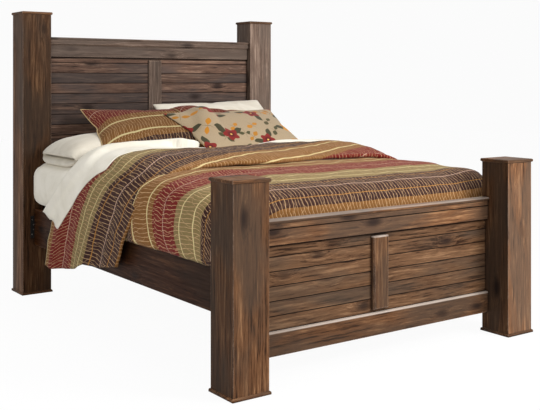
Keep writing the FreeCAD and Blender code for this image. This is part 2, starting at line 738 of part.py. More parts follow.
def make_hook_plates():
    """Plates let into the rail ends, each with two hooks that drop over the slotted plates."""
    plates = []
    for side in SIDES.values():
        middle = f"({side} * ({RAIL_OUTER} - rail_thickness / 2))"
        for end, face, inward in rail_ends():
            inner = f"({face} - {inward} * slot_plate_thickness)"
            outer = f"({inner} - {inward} * hook_plate_thickness)"
            low_y = outer if inward > 0 else inner
            low_z = f"({HOOK_MIDDLE} - hook_plate_height / 2)"
            plate = Part.makeBox(size("hook_plate_width"), size("hook_plate_thickness"),
                                 size("hook_plate_height"),
                                 point((f"{middle} - hook_plate_width / 2", low_y, low_z)))
            reach = "(slot_plate_thickness + 2 * hook_clearance + hook_lip_depth)"
            for level in hook_heights():
                hook_y = inner if inward > 0 else f"({inner} - {reach})"
                x_low = f"{middle} - hook_thickness / 2"
                stem = Part.makeBox(size("hook_thickness"), size(reach), size("hook_height"),
                                    point((x_low, hook_y, level)))
                lip_y = f"({inner} + slot_plate_thickness + 2 * hook_clearance)"
                if inward < 0:
                    lip_y = hook_y
                lip = Part.makeBox(size("hook_thickness"), size("hook_lip_depth"), size("hook_lip"),
                                   point((x_low, lip_y, f"{level} - hook_lip")))
                plate = plate.fuse(stem).fuse(lip)
            direction = "-Y" if inward > 0 else "+Y"
            for level in rail_screw_heights():
                seat = (middle, f"{inner} + {inward} * overrun", level)
                plate = plate.cut(pin("plate_screw_radius + screw_clearance",
                                      "hook_plate_thickness + 2 * overrun", seat, direction))
                plate = plate.cut(pin("plate_screw_head_radius + screw_clearance",
                                      "plate_screw_head_height + overrun", seat, direction))
            plates.append(plate.removeSplitter())
    group("rail_hook_plates", plates)


def make_slot_plates():
    """Plates on the posts' faces, with slots that take the rail hooks."""
    plates = []
    for side in SIDES.values():
        plate_middle = f"({RAIL_OUTER} + slot_plate_outboard - slot_plate_width / 2)"
        low_x = f"({side} * {plate_middle} - slot_plate_width / 2)"
        middle = f"({side} * ({RAIL_OUTER} - rail_thickness / 2))"
        for end, face, inward in rail_ends():
            low_y = f"({face} - slot_plate_thickness)" if inward > 0 else face
            plate = Part.makeBox(size("slot_plate_width"), size("slot_plate_thickness"),
                                 size("hook_plate_height"),
                                 point((low_x, low_y, f"{HOOK_MIDDLE} - hook_plate_height / 2")))
            for level in hook_heights():
                slot = Part.makeBox(size("hook_thickness + 2 * hook_clearance"),
                                    size("slot_plate_thickness + 2 * overrun"),
                                    size("hook_height + 2 * hook_clearance"),
                                    point((f"{middle} - hook_thickness / 2 - hook_clearance",
                                           f"{low_y} - overrun", f"{level} - hook_clearance")))
                plate = plate.cut(slot)
            direction = "+Y" if inward > 0 else "-Y"
            for across, level in zigzag_screws(side):
                seat = (across, f"{face} - {inward} * (slot_plate_thickness + overrun)", level)
                plate = plate.cut(pin("plate_screw_radius + screw_clearance",
                                      "slot_plate_thickness + 2 * overrun", seat, direction))
            plates.append(plate)
    group("post_slot_plates", plates)


def make_plate_screws():
    screws = []
    for side in SIDES.values():
        middle = f"({side} * ({RAIL_OUTER} - rail_thickness / 2))"
        for end, face, inward in rail_ends():
            for across, level in zigzag_screws(side):
                at = (across, f"{face} - {inward} * slot_plate_thickness", level)
                screws.append(screw("slot_plate_thickness + post_screw_length - screw_clearance", at,
                                    "+Y" if inward > 0 else "-Y"))
            for level in rail_screw_heights():
                at = (middle, f"{face} - {inward} * (slot_plate_thickness + plate_screw_head_height)", level)
                screws.append(screw("rail_screw_length", at, "-Y" if inward > 0 else "+Y"))
    group("rail_hardware_screws", screws)


def make_leg(number):
    """A square centre leg under a slat, bored for its insert and levelling stud."""
    middle = slat_middle(LEG_SLATS[number])
    corner = ("-leg_width / 2", f"{middle} - leg_width / 2", "leg_floor_gap")
    body = new_body(f"centre_leg_{number + 1}", corner)
    feature = block(body, ("leg_width", "leg_width", f"{SLAT_BOTTOM} - leg_floor_gap"))
    soften(body, feature, upright_edges(feature.Shape), "panel_edge_round")
    centre = ("leg_width / 2", "leg_width / 2", "-overrun")
    rod(body, "insert_radius + stud_clearance", "insert_length + overrun", centre, "+Z")
    rod(body, "stud_bore_radius", "stud_bore_length + overrun", centre, "+Z")
    for pair in (-1, 1):
        start = (f"leg_width / 2 + {pair} * leg_screw_pitch / 2", "leg_width / 2",
                 f"{SLAT_BOTTOM} - leg_floor_gap + overrun")
        rod(body, "plate_screw_radius + screw_clearance", "slat_screw_length - slat_thickness + overrun",
            start, "-Z")


def make_inserts():
    """Threaded sleeves in the feet of the centre legs."""
    inserts = []
    for number in range(len(LEG_SLATS)):
        at = ("0", slat_middle(LEG_SLATS[number]), "leg_floor_gap")
        outer = pin("insert_radius", "insert_length", at, "+Z")
        bore_at = (at[0], at[1], "leg_floor_gap - overrun")
        bore = pin("stud_radius + stud_clearance", "insert_length + 2 * overrun", bore_at, "+Z")
        inserts.append(outer.cut(bore))
    group("leg_inserts", inserts)


def make_leveller(number):
    """A glide pad on the floor and the threaded stud that turns in it to set the height."""
    middle = slat_middle(LEG_SLATS[number])
    pad = new_body(f"glide_pad_{number + 1}", ("0", middle, "0"))
    feature = rod(pad, "pad_radius", "pad_height", ("0", "0", "0"), "+Z", cut=False)
    soften(pad, feature, edges_on(feature.Shape, "+Z"), "pad_edge_round")
    rod(pad, "spigot_radius + stud_clearance", "spigot_length + 2 * soft_gap + overrun",
        ("0", "0", "pad_height + overrun"), "-Z")
    stud = new_body(f"levelling_stud_{number + 1}", ("0", middle, "pad_height + soft_gap"))
    collar = stud.newObject("PartDesign::AdditivePrism", stud.Name + "_collar")
    collar.Polygon = 6
    bind(collar, "Circumradius", "collar_width / sqrt(3)")
    bind(collar, "Height", "collar_height")
    doc.recompute()
    rod(stud, "stud_radius", "collar_height + stud_length", ("0", "0", "0"), "+Z", cut=False)
    rod(stud, "spigot_radius", "spigot_length", ("0", "0", "0"), "-Z", cut=False)


def wedge(body, low, high, rise):
    """Cut away a block whose floor climbs along Y by the given rise."""
    feature = body.newObject("PartDesign::SubtractiveWedge", body.Name + "_wedge")
    floors = {"Zmin": low[2], "Z2min": f"{low[2]} + {rise}", "Zmax": high[2], "Z2max": high[2]}
    walls = {"Xmin": low[0], "X2min": low[0], "Xmax": high[0], "X2max": high[0]}
    walls |= {"Ymin": low[1], "Ymax": high[1]}
    for prop, text in (floors | walls).items():
        bind(feature, prop, text)
    doc.recompute()


def spring_case(label, dims, at, corner, edge):
    """A padded case with rounded corners and soft edges."""
    body = new_body(label, at)
    feature = block(body, dims)
    feature = soften(body, feature, upright_edges(feature.Shape), corner)
    rims = edges_on(feature.Shape, "+Z") | edges_on(feature.Shape, "-Z")
    soften(body, feature, rims, edge)
    return body


def hollow(body, dims, margins, low_end=None):
    """Clear the room for the springs inside a case, lower for some way from the foot if asked."""
    across, along, padding = margins
    start = along
    if low_end:
        length, top = low_end
        block(body, (f"{dims[0]} - 2 * {across}", f"{length} - {along} + overrun", f"{top} - {padding}"),
              (across, along, padding), cut=True)
        start = length
    space = (f"{dims[0]} - 2 * {across}", f"{dims[1]} - {start} - {along}", f"{dims[2]} - 2 * {padding}")
    block(body, space, (across, start, padding), cut=True)


BED_FOOT = f"({FOOT_BACK} + bed_foot_gap)"
BOX_SPRING_BOTTOM = f"({SLAT_TOP} + soft_gap)"
MATTRESS_BOTTOM = f"({SLAT_TOP} + 2 * soft_gap + box_spring_height)"
MATTRESS_TOP = f"({MATTRESS_BOTTOM} + mattress_height)"
SHEET_TOP = f"({MATTRESS_TOP} + soft_gap + sheet_thickness)"


def make_mattress():
    at = ("-box_spring_width / 2", BED_FOOT, BOX_SPRING_BOTTOM)
    dims = ("box_spring_width", "mattress_length", "box_spring_height")
    body = spring_case("box_spring", dims, at, "box_spring_corner", "box_spring_edge")
    margin = "(box_spring_padding + box_spring_corner / 2)"
    hollow(body, dims, (margin, margin, "box_spring_padding"))
    at = ("-mattress_width / 2", BED_FOOT, MATTRESS_BOTTOM)
    dims = ("mattress_width", "mattress_length", "mattress_height")
    body = spring_case("mattress", dims, at, "mattress_corner", "mattress_edge")
    for (near, deep), (far, shallow) in zip(FOOT_SINK_SHARES, FOOT_SINK_SHARES[1:]):
        low = ("-overrun", f"{near} * mattress_sink_length", f"mattress_height - {deep} * mattress_foot_sink")
        high = ("mattress_width + overrun", f"{far} * mattress_sink_length", "mattress_height + overrun")
        wedge(body, low, high, f"({deep} - {shallow}) * mattress_foot_sink")
    margin = "(mattress_padding + mattress_corner / 2)"
    low_end = ("mattress_sink_length", "(mattress_height - mattress_foot_sink / 2 - mattress_padding)")
    hollow(body, dims, (margin, margin, "mattress_padding"), low_end)


def cover_core(grow, bottom):
    """The rounded block that the mattress fills, grown all round and run down to a level."""
    low = point((f"-mattress_width / 2 - ({grow})", f"{BED_FOOT} - ({grow})", bottom))
    high = point((f"mattress_width / 2 + ({grow})", f"{BED_FOOT} + mattress_length + ({grow})",
                  f"{MATTRESS_TOP} + ({grow})"))
    span = high - low
    core = Part.makeBox(span.x, span.y, span.z, low)
    upright = [edge for edge in core.Edges if math.isclose(edge.BoundBox.ZLength, span.z, abs_tol=TOUCH)]
    core = core.makeFillet(size(f"mattress_corner + ({grow})"), upright)
    rim = [edge for edge in core.Edges if math.isclose(edge.BoundBox.ZMin, high.z, abs_tol=TOUCH)]
    core = core.makeFillet(size(f"mattress_edge + ({grow})"), rim)
    return core.cut(sunk_space(grow))


def sunk_space(grow):
    """What the sunken foot end of the mattress leaves free, from its grown surface up."""
    reach = size("mattress_width")
    line = []
    for along, deep in FOOT_SINK_SHARES:
        y = size(f"{BED_FOOT} + {along} * mattress_sink_length")
        line.append((y, size(f"{MATTRESS_TOP} - {deep} * mattress_foot_sink + ({grow})")))
    over = size(f"{MATTRESS_TOP} + ({grow}) + overrun")
    line = line + [(line[-1][0], over), (line[0][0], over)]
    corners = [FreeCAD.Vector(-reach, y, z) for y, z in line]
    return Part.Face(Part.makePolygon(corners + corners[:1])).extrude(FreeCAD.Vector(2 * reach, 0, 0))


def make_fitted_sheet():
    """A close cover on the top and sides of the mattress, open below."""
    outer = cover_core("soft_gap + sheet_thickness", MATTRESS_BOTTOM)
    inner = cover_core("soft_gap", f"{MATTRESS_BOTTOM} - overrun")
    soft("fitted_sheet", outer.cut(inner))


def cover_section(station, grow):
    """One closed section of the quilt across the bed: upright sides, rounded shoulders, flat top."""
    along, gather, fold, shoulder = station
    y = size(f"{BED_FOOT} + {along} * mattress_length")
    layers = "2 * soft_gap + sheet_thickness + quilt_thickness"
    half = size(f"mattress_width / 2 + {layers} + {fold} * quilt_fold_depth + ({grow})")
    top = size(f"{SHEET_TOP} + soft_gap + quilt_thickness + {gather} * quilt_gather + ({grow})")
    round_off = size(f"{shoulder} * quilt_shoulder + ({grow})")
    floor = 0
    bend = round_off * (1 - math.sqrt(0.5))
    spots = [(-half, floor), (-half, top - round_off), (-half + bend, top - bend), (-half + round_off, top)]
    left = [FreeCAD.Vector(x, y, z) for x, z in spots]
    right = [FreeCAD.Vector(-x, y, z) for x, z in reversed(spots)]
    edges = [
        Part.LineSegment(left[0], left[1]).toShape(),
        Part.Arc(left[1], left[2], left[3]).toShape(),
        Part.LineSegment(left[3], right[0]).toShape(),
        Part.Arc(right[0], right[1], right[2]).toShape(),
        Part.LineSegment(right[2], right[3]).toShape(),
        Part.LineSegment(right[3], left[0]).toShape(),
    ]
    return Part.Wire(edges)


def cover_solid(grow):
    """The whole space under the quilt's outer face, from behind the footboard to the head."""
    foot = size(f"-(2 * soft_gap + sheet_thickness + quilt_thickness + ({grow})) / mattress_length")
    stations = ((foot, *FOOT_END_SHARES),) + COVER_STATION_SHARES
    return Part.makeLoft([cover_section(station, grow) for station in stations], True, True)


def side_prism(shares):
    """A solid as wide as the bed with the given outline in the side view."""
    reach = size("mattress_width")
    corners = []
    for along, height in shares:
        y = size(f"{BED_FOOT} + {along} * mattress_length")
        corners.append(FreeCAD.Vector(-reach, y, height * size(SHEET_TOP)))
    outline = Part.makePolygon(corners + corners[:1])
    return Part.Face(outline).extrude(FreeCAD.Vector(2 * reach, 0, 0))


def make_quilt():
    """The quilt: tucked in at the foot, gathered and hanging in folds beyond the middle."""
    inner = cover_core("2 * soft_gap + sheet_thickness", "0")
    quilt = cover_solid("0").common(side_prism(QUILT_SIDE_SHARES)).cut(inner)
    soft("quilt", quilt.cut(filling_room()))


def filling_room():
    """The light inside of the swollen head part, a quilt's thickness in from its faces."""
    first, last = FILLING_SHARES
    corner = point(("-mattress_width / 2 + quilt_shoulder / 2", f"{BED_FOOT} + {first} * mattress_length",
                    f"{SHEET_TOP} + soft_gap + quilt_thickness"))
    width = size("mattress_width - quilt_shoulder")
    length = size(f"({last} - {first}) * mattress_length")
    room = Part.makeBox(width, length, size("2 * quilt_gather"), corner)
    return room.common(cover_solid("-quilt_thickness"))


def make_top_sheet():
    """The band of the top sheet that is turned down over the quilt."""
    outer = cover_solid("soft_gap + sheet_thickness").common(side_prism(SHEET_SIDE_SHARES))
    soft("top_sheet", outer.cut(cover_solid("soft_gap")))


def cushion_solid(label, kind, grow):
    """A crowned cushion with drawn-in sides, tilted and set in its place."""
    half_width = size(f"{kind}_width / 2 + ({grow})")
    half_depth = size(f"{kind}_depth / 2 + ({grow})")
    crown = size(f"({kind}_thickness - cushion_edge) / 2")
    rim = size(f"cushion_edge / 2 + ({grow})")
    sections = []
    for along, rise, spread in CUSHION_STATION_SHARES:
        v = along * half_depth
        u = spread * half_width
        middle = rim + rise * crown
        side = rim
        upper = [FreeCAD.Vector(-u, v, side), FreeCAD.Vector(0, v, middle), FreeCAD.Vector(u, v, side)]
        lower = [FreeCAD.Vector(u, v, -side), FreeCAD.Vector(0, v, -middle), FreeCAD.Vector(-u, v, -side)]
        if rise == 0:
            bow = rim / half_width
            upper[1] = FreeCAD.Vector(0, v, side + bow)
            lower[1] = FreeCAD.Vector(0, v, -side - bow)
        edges = [
            Part.Arc(*upper).toShape(),
            Part.LineSegment(upper[2], lower[0]).toShape(),
            Part.Arc(*lower).toShape(),
            Part.LineSegment(lower[2], upper[0]).toShape(),
        ]
        sections.append(Part.Wire(edges))
    solid = Part.makeLoft(sections, True, False)
    at = point((f"{label}_across", f"{HEAD_FRONT} - {label}_inward", f"{SHEET_TOP} + {label}_up"))
    tilt = FreeCAD.Rotation(FreeCAD.Vector(1, 0, 0), CUSHION_TILT[label])
    turn = FreeCAD.Rotation(FreeCAD.Vector(0, 0, 1), CUSHION_TURN[label])
    solid.Placement = FreeCAD.Placement(at, turn.multiply(tilt))
    return solid


def level_block(top):
    """Everything below a level, as wide and long as the bed."""
    width = size("post_pitch")
    length = size("rail_span")
    return Part.makeBox(width, length, size(top), FreeCAD.Vector(-width / 2, -length / 2, 0))


def make_cushions():
    """Pillows on the sheet, shams on the pillows and the throw cushion on the shams."""
    mattress_level = level_block(f"{SHEET_TOP} + soft_gap")
    covers = cover_solid("2 * soft_gap + sheet_thickness")
    supports = [mattress_level]
    for shares in (QUILT_SIDE_SHARES, SHEET_SIDE_SHARES):
        supports.append(covers.common(side_prism(shares)))
    for tier in (("pillow_left", "pillow_right"), ("sham_left", "sham_right"), ("throw_cushion",)):
        grown = []
        for label in tier:
            kind = label.replace("_left", "").replace("_right", "")
            solid = cushion_solid(label, kind, "0")
            for support in supports + grown:
                solid = solid.cut(support)
            soft(label, max(solid.Solids, key=lambda piece: piece.Volume))
            grown.append(cushion_solid(label, kind, "soft_gap"))
        supports = supports + grown


for end in ("head", "foot"):
    for hand in SIDES:
        make_post(end, hand)
        make_cap(end, hand)
        make_base(end, hand)
make_headboard()
make_footboard()
make_dowels()
for hand in SIDES:
    make_side_rail(hand)
    make_ledger(hand)
make_hook_plates()
make_slot_plates()
make_plate_screws()
for number in range(SLAT_COUNT):
    make_slat(number)
make_slat_screws()
for number in range(len(LEG_SLATS)):
    make_leg(number)
    make_leveller(number)
make_inserts()
make_mattress()
make_fitted_sheet()
make_quilt()
make_top_sheet()
make_cushions()
doc.recompute()

# Nothing is written unless every object was made
for item in doc.Objects:
    if "Invalid" in item.State or "Error" in item.State:
        raise RuntimeError(f"{item.Label} failed: {item.State}")
for label, item in nodes.items():
    if item.Shape.isNull() or not item.Shape.isValid():
        raise RuntimeError(f"{label} has no valid shape")
os.makedirs("parts", exist_ok=True)
for label, item in nodes.items():
    item.Shape.exportStep(f"parts/{label}.step")
    box = item.Shape.optimalBoundingBox(False)
    print(f"{label}: {len(item.Shape.Solids)} solids, {item.Shape.Volume / 1e6:.3f} litres, "
          f"Z {box.ZMin:.1f} to {box.ZMax:.1f}")
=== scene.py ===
import bpy
import json
import math
import numpy as np
from mathutils import Euler, Matrix, Vector
from mathutils import noise
from mathutils.bvhtree import BVHTree


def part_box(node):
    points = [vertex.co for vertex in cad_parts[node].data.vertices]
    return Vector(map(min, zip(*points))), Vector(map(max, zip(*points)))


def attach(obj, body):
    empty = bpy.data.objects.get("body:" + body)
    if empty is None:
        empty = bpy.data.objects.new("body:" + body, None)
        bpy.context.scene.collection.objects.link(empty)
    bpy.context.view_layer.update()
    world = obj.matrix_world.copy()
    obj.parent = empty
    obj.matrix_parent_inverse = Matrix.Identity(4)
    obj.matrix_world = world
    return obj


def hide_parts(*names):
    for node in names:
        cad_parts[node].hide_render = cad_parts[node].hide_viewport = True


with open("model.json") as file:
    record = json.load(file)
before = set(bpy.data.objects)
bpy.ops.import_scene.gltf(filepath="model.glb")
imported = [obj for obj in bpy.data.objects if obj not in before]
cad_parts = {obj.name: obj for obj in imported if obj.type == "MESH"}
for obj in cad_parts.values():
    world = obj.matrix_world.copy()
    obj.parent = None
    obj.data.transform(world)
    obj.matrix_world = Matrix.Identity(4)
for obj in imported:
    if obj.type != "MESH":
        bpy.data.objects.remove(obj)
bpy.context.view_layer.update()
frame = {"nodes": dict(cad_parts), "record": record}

# Poster bed with plank panels, made up with a fitted sheet, a turned-down top sheet, a striped quilt,
# pillows, shams and a printed cushion. Metres; X across, Y from foot to head, Z up.

scene = bpy.context.scene


def rgb(red, green, blue):
    """A screen colour from 0 to 255 as the linear colour that a shader takes."""
    linear = []
    for value in (red, green, blue):
        share = value / 255
        linear.append(share / 12.92 if share <= 0.04045 else ((share + 0.055) / 1.055) ** 2.4)
    return (*linear, 1.0)


def sum_of(operation):
    """A method that joins two shader values in a sum."""
    def joined(self, other):
        return self.nodes.math(operation, self, other)
    return joined


class Value:
    """One output of a shader node, which can stand in a sum."""

    def __init__(self, nodes, socket):
        self.nodes = nodes
        self.socket = socket

    __add__ = sum_of("ADD")
    __sub__ = sum_of("SUBTRACT")
    __mul__ = sum_of("MULTIPLY")
    __truediv__ = sum_of("DIVIDE")

    def __rsub__(self, other):
        return self.nodes.math("SUBTRACT", other, self)

    def __abs__(self):
        return self.nodes.math("ABSOLUTE", self)


class Nodes:
    """A tree of shader nodes, with short names for the nodes used here."""

    def __init__(self, tree):
        self.tree = tree
        self.tree.nodes.clear()

    def feed(self, socket, value):
        if isinstance(value, Value):
            self.tree.links.new(value.socket, socket)
        else:
            socket.default_value = value

    def make(self, kind, inputs=None, output=0, **settings):
        """Add a node, feed its inputs by number or name, and return one of its outputs or several."""
        node = self.tree.nodes.new(kind)
        for name, value in settings.items():
            setattr(node, name, value)
        for name, value in (inputs or {}).items():
            self.feed(node.inputs[name], value)
        if isinstance(output, tuple):
            return [Value(self, node.outputs[name]) for name in output]
        return Value(self, node.outputs[output]) if node.outputs else None

    def math(self, operation, *values, clamp=False):
        return self.make("ShaderNodeMath", dict(enumerate(values)), operation=operation, use_clamp=clamp)

    def vector(self, operation, first, second):
        return self.make("ShaderNodeVectorMath", {0: first, 1: second}, operation=operation)

    def split(self, vector):
        return self.make("ShaderNodeSeparateXYZ", {0: vector}, (0, 1, 2))

    def join(self, x, y, z):
        return self.make("ShaderNodeCombineXYZ", {0: x, 1: y, 2: z})

    def noise(self, vector, scale, detail=3.0, rough=0.5, distort=0.0):
        inputs = {"Vector": vector, "Scale": scale, "Detail": detail, "Roughness": rough,
                  "Distortion": distort}
        return self.make("ShaderNodeTexNoise", inputs, "Fac")

    def chance(self, number):
        """A random share that belongs to a whole number."""
        return self.make("ShaderNodeTexWhiteNoise", {"W": number}, "Value", noise_dimensions="1D")

    def span(self, value, low, high, start=0.0, end=1.0):
        """Map a value from one range to another, smoothly and within the limits."""
        inputs = dict(enumerate((value, low, high, start, end)))
        return self.make("ShaderNodeMapRange", inputs, interpolation_type="SMOOTHSTEP")

    def mix(self, share, first, second, blend="MIX"):
        inputs = {0: share, 6: first, 7: second}
        return self.make("ShaderNodeMix", inputs, 2, data_type="RGBA", blend_type=blend)

    def ramp(self, value, stops, kind="LINEAR"):
        node = self.tree.nodes.new("ShaderNodeValToRGB")
        ramp = node.color_ramp
        ramp.interpolation = kind
        while len(ramp.elements) < len(stops):
            ramp.elements.new(0.5)
        for element, (place, colour) in zip(ramp.elements, stops):
            element.position = place
            element.color = colour
        self.feed(node.inputs[0], value)
        return Value(self, node.outputs[0])

    def bump(self, height, strength, distance, normal=None):
        inputs = {"Height": height, "Strength": strength, "Distance": distance}
        if normal is not None:
            inputs["Normal"] = normal
        return self.make("ShaderNodeBump", inputs)


SURFACE_INPUTS = {"colour": "Base Color", "rough": "Roughness", "normal": "Normal", "metal": "Metallic",
                  "sheen": "Sheen Weight", "specular": "Specular IOR Level"}


class Shader(Nodes):
    """A material with one principled surface."""

    def __init__(self, name):
        self.material = bpy.data.materials.new(name)
        self.material.use_nodes = True
        super().__init__(self.material.node_tree)
        self.surface = self.tree.nodes.new("ShaderNodeBsdfPrincipled")
        self.output = self.tree.nodes.new("ShaderNodeOutputMaterial")
        self.lit = Value(self, self.surface.outputs["BSDF"])
        self.feed(self.output.inputs["Surface"], self.lit)

    def paint(self, **values):
        """Feed the surface, and return the material."""
        for name, value in values.items():
            self.feed(self.surface.inputs[SURFACE_INPUTS[name]], value)
        return self.material

    def cloth_place(self):
        """The place on the flat cloth, before it is draped or sewn."""
        return self.make("ShaderNodeUVMap", uv_map="flat")


# Wood

WOOD_GLOSS = 0.05
WOOD_ROUGH = 0.46
JOINT_HALF_WIDTH = 0.0022
SCORE_HALF_WIDTH = 0.0028
# how far the painted shade in hollows looks for nearby surfaces
HOLLOW_REACH = 0.016
# radius for finding edges that are lightened as wear and as a painted highlight
EDGE_FIND_RADIUS = 0.006
# depth of the painted highlight band below an upper edge
HIGHLIGHT_BAND = 0.009
# how grain, weathered patches and knots are scaled along the grain and across it
GRAIN_RUN = (0.05, 1.0)
PATCH_RUN = (0.3, 1.0)
KNOT_RUN = (3.2, 7.0)
# dark stain for plank joints and the scored line; also the colour of the painted shadow under rails and of
# the painted shade in hollows
STAIN_AND_SHADE = rgb(22, 13, 9)
KNOT_TONE = rgb(34, 26, 24)
# the pale of edges that carry wear and also a painted highlight
EDGE_WEAR_AND_HIGHLIGHT_TONE = rgb(172, 148, 130)
# the pale of the painted highlight along upper edges
PAINTED_HIGHLIGHT_TONE = rgb(200, 186, 174)


def run_along(axis, run):
    """Scales for X, Y and Z, with the first of the run for the axis of the grain."""
    return tuple(run[0] if letter == axis else run[1] for letter in "XYZ")


def wood(name, axis, tones, boards=None, vary=1.0, right=1.0, knots=1.0, stain=0.7, rough=WOOD_ROUGH,
         faces=(1.0, 1.0), highlit_edge=None, scored=None):
    """Rustic wood with its grain along an axis, in tones from dark to light and a grey for weathered patches.

    boards gives a stack of planks its start, its pitch, the height of the rail above it, under which a shadow
    is painted, and the number that the tone of the lowest one is drawn with, vary how much they differ and
    right the tone of those right of the middle, painted lighter where the light falls brighter. faces gives
    painted
    shading: the tones of a piece's left and front faces, darker or lighter as light falls on them. An upper
    edge, given by its height and how pale, gets a painted highlight: a pale band along it. scored is the
    height of a scored line.
    """
    dark, middle, light, grey = tones
    shader = Shader(name)
    place, normal = shader.make("ShaderNodeTexCoord", output=("Object", "Normal"))
    facing = shader.split(normal)
    across_bed, _, level = shader.split(place)
    if boards:
        start, pitch, rail, drawn = boards
        count = (level - start) / pitch
        number = shader.math("FLOOR", count)
        luck = shader.chance(number + drawn)
        tone = luck * (0.5 * vary) + (1.0 - 0.24 * vary)
        # planks right of the middle are painted lighter, where the light falls brighter on the right
        tone = tone * shader.span(across_bed, -0.05, 0.05, 1.0, right)
        weathered = (0.5 - luck) * (0.45 * vary)
        shift = number * 3.7
        half_joint = JOINT_HALF_WIDTH / pitch
        off_middle = abs(shader.math("FRACT", count) - 0.5)
        joint = shader.span(off_middle, 0.5 - 1.4 * half_joint, 0.5 - 0.7 * half_joint, 0.0, 0.92)
        # the band just below the rail is a painted shadow of the rail, joined to the dark joints
        line = shader.math("MAXIMUM", joint, shader.span(level, rail - 0.016, rail - 0.006, 0.0, 0.9))
    else:
        luck = shader.make("ShaderNodeObjectInfo", output="Random")
        tone = luck * 0.16 + 0.92
        weathered = luck * 0.1
        shift = luck * 7.0
    if scored:
        off_line = abs(level - scored)
        line = shader.span(off_line, SCORE_HALF_WIDTH + 0.0006, SCORE_HALF_WIDTH - 0.0006, 0.0, 0.85)
    # painted shading: a piece's left and front faces made darker or lighter as light falls on them
    if faces != (1.0, 1.0):
        left = shader.span(facing[0], -0.6, -0.9, 1.0, faces[0])
        front = shader.span(facing[1], -0.6, -0.9, 1.0, faces[1])
        tone = tone * (left * front)
    moved = shader.vector("ADD", place, shader.join(shift, shift * 0.6, shift))

    # knots push the grain aside
    cells = {"Vector": shader.vector("MULTIPLY", moved, run_along(axis, KNOT_RUN)), "Scale": 1.0}
    near = shader.make("ShaderNodeTexVoronoi", cells, "Distance")
    knot = shader.span(near, 0.24, 0.04) * knots
    swirl = shader.span(near, 0.4, 0.0) * (0.014 * knots)
    bent = shader.vector("ADD", moved, shader.join(swirl, swirl, swirl))
    run = shader.vector("MULTIPLY", bent, run_along(axis, GRAIN_RUN))

    # streaks, rings and fibres set the tone, with weathered patches, pores and knots over them
    streaks = shader.noise(run, 85.0, 5.0, 0.62, 0.2)
    wide = shader.noise(run, 13.0, 3.0, 0.5, 0.4)
    rings = shader.math("SINE", wide * 80.0)
    fibres = shader.noise(run, 420.0, 2.0, 0.6)
    grain = rings * 0.035 + streaks + (wide - 0.5) * 0.38 + (fibres - 0.5) * 0.4
    colour = shader.ramp(grain, ((0.31, dark), (0.46, middle), (0.54, middle), (0.71, light)))
    cloud = shader.noise(shader.vector("MULTIPLY", moved, run_along(axis, PATCH_RUN)), 5.5, 3.0, 0.55, 0.5)
    colour = shader.mix(shader.span(cloud + weathered, 0.44, 0.68, 0.0, stain), colour, grey)
    pores = shader.span(shader.noise(run, 170.0, 3.0, 0.7), 0.38, 0.29)
    colour = shader.mix(pores * 0.5, colour, dark)
    colour = shader.mix(knot * 0.85, colour, KNOT_TONE)
    strength = shader.make("ShaderNodeCombineColor", {0: tone, 1: tone, 2: tone})
    colour = shader.mix(1.0, colour, strength, "MULTIPLY")
    # dark joints and scored line, and below the rail its painted shadow
    if boards or scored:
        colour = shader.mix(line, colour, STAIN_AND_SHADE)

    # painted shade: darker in grooves, corners and under parts where the ambient occlusion is low, not on
    # what faces up
    openness = shader.make("ShaderNodeAmbientOcclusion", {"Distance": HOLLOW_REACH}, "AO", samples=6)
    painted_shade_in_hollows = shader.span(openness, 0.82, 0.45, 0.0, 0.88) * shader.span(facing[2], 0.7, 0.3)
    colour = shader.mix(painted_shade_in_hollows, colour, STAIN_AND_SHADE)

    # edges lightened, partly as wear from hands and dusters and partly as a painted highlight
    if not boards and not scored:
        rounded = shader.make("ShaderNodeBevel", {"Radius": EDGE_FIND_RADIUS}, samples=4)
        straight = shader.make("ShaderNodeNewGeometry", output="Normal")
        pair = {0: rounded, 1: straight}
        alike = shader.make("ShaderNodeVectorMath", pair, "Value", operation="DOT_PRODUCT")
        edge = shader.span(alike, 0.985, 0.86) * shader.span(openness, 0.8, 0.97)
        wear_and_highlight = edge * shader.span(shader.noise(moved, 30.0, 4.0, 0.6), 0.3, 0.65, 0.15, 0.65)
        colour = shader.mix(wear_and_highlight, colour, EDGE_WEAR_AND_HIGHLIGHT_TONE)
    # a painted highlight: a pale band along the top of an upper edge, broken up by noise
    if highlit_edge:
        top, share = highlit_edge
        brow = shader.span(level, top - HIGHLIGHT_BAND, top - 0.4 * HIGHLIGHT_BAND, 0.0, share)
        thin = shader.span(shader.noise(run, 26.0, 3.0, 0.6), 0.3, 0.62, 0.55, 1.0)
        colour = shader.mix(brow * thin, colour, PAINTED_HIGHLIGHT_TONE)

    relief = fibres * 0.4 + streaks - pores * 0.5
    return shader.paint(colour=colour, rough=shader.span(streaks, 0.3, 0.7, rough + 0.1, rough - 0.06),
                        normal=shader.bump(relief, 0.4, 0.0010), specular=WOOD_GLOSS)


# each wood: its dark, middle and light tones, and the grey of its weathered patches
# the first wood, a lighter and greyer copy for the right head post, the head mullion and the head rails, is
# painted lighter where the headboard is lit more brightly
HEAD_LIT_WOOD = (rgb(58, 46, 40), rgb(102, 84, 73), rgb(142, 122, 108), rgb(92, 80, 72))
POST_WOOD = (rgb(42, 26, 17), rgb(98, 66, 43), rgb(144, 106, 74), rgb(72, 59, 49))
HEAD_PLANK_WOOD = (rgb(40, 31, 27), rgb(88, 67, 56), rgb(126, 101, 85), rgb(67, 61, 59))
FOOT_PLANK_WOOD = (rgb(44, 28, 19), rgb(103, 74, 52), rgb(143, 109, 80), rgb(75, 63, 53))
SIDE_WOOD = (rgb(44, 21, 9), rgb(100, 56, 28), rgb(146, 92, 50), rgb(74, 50, 33))
PALE_WOOD = (rgb(150, 118, 82), rgb(188, 156, 116), rgb(210, 182, 142), rgb(176, 146, 110))

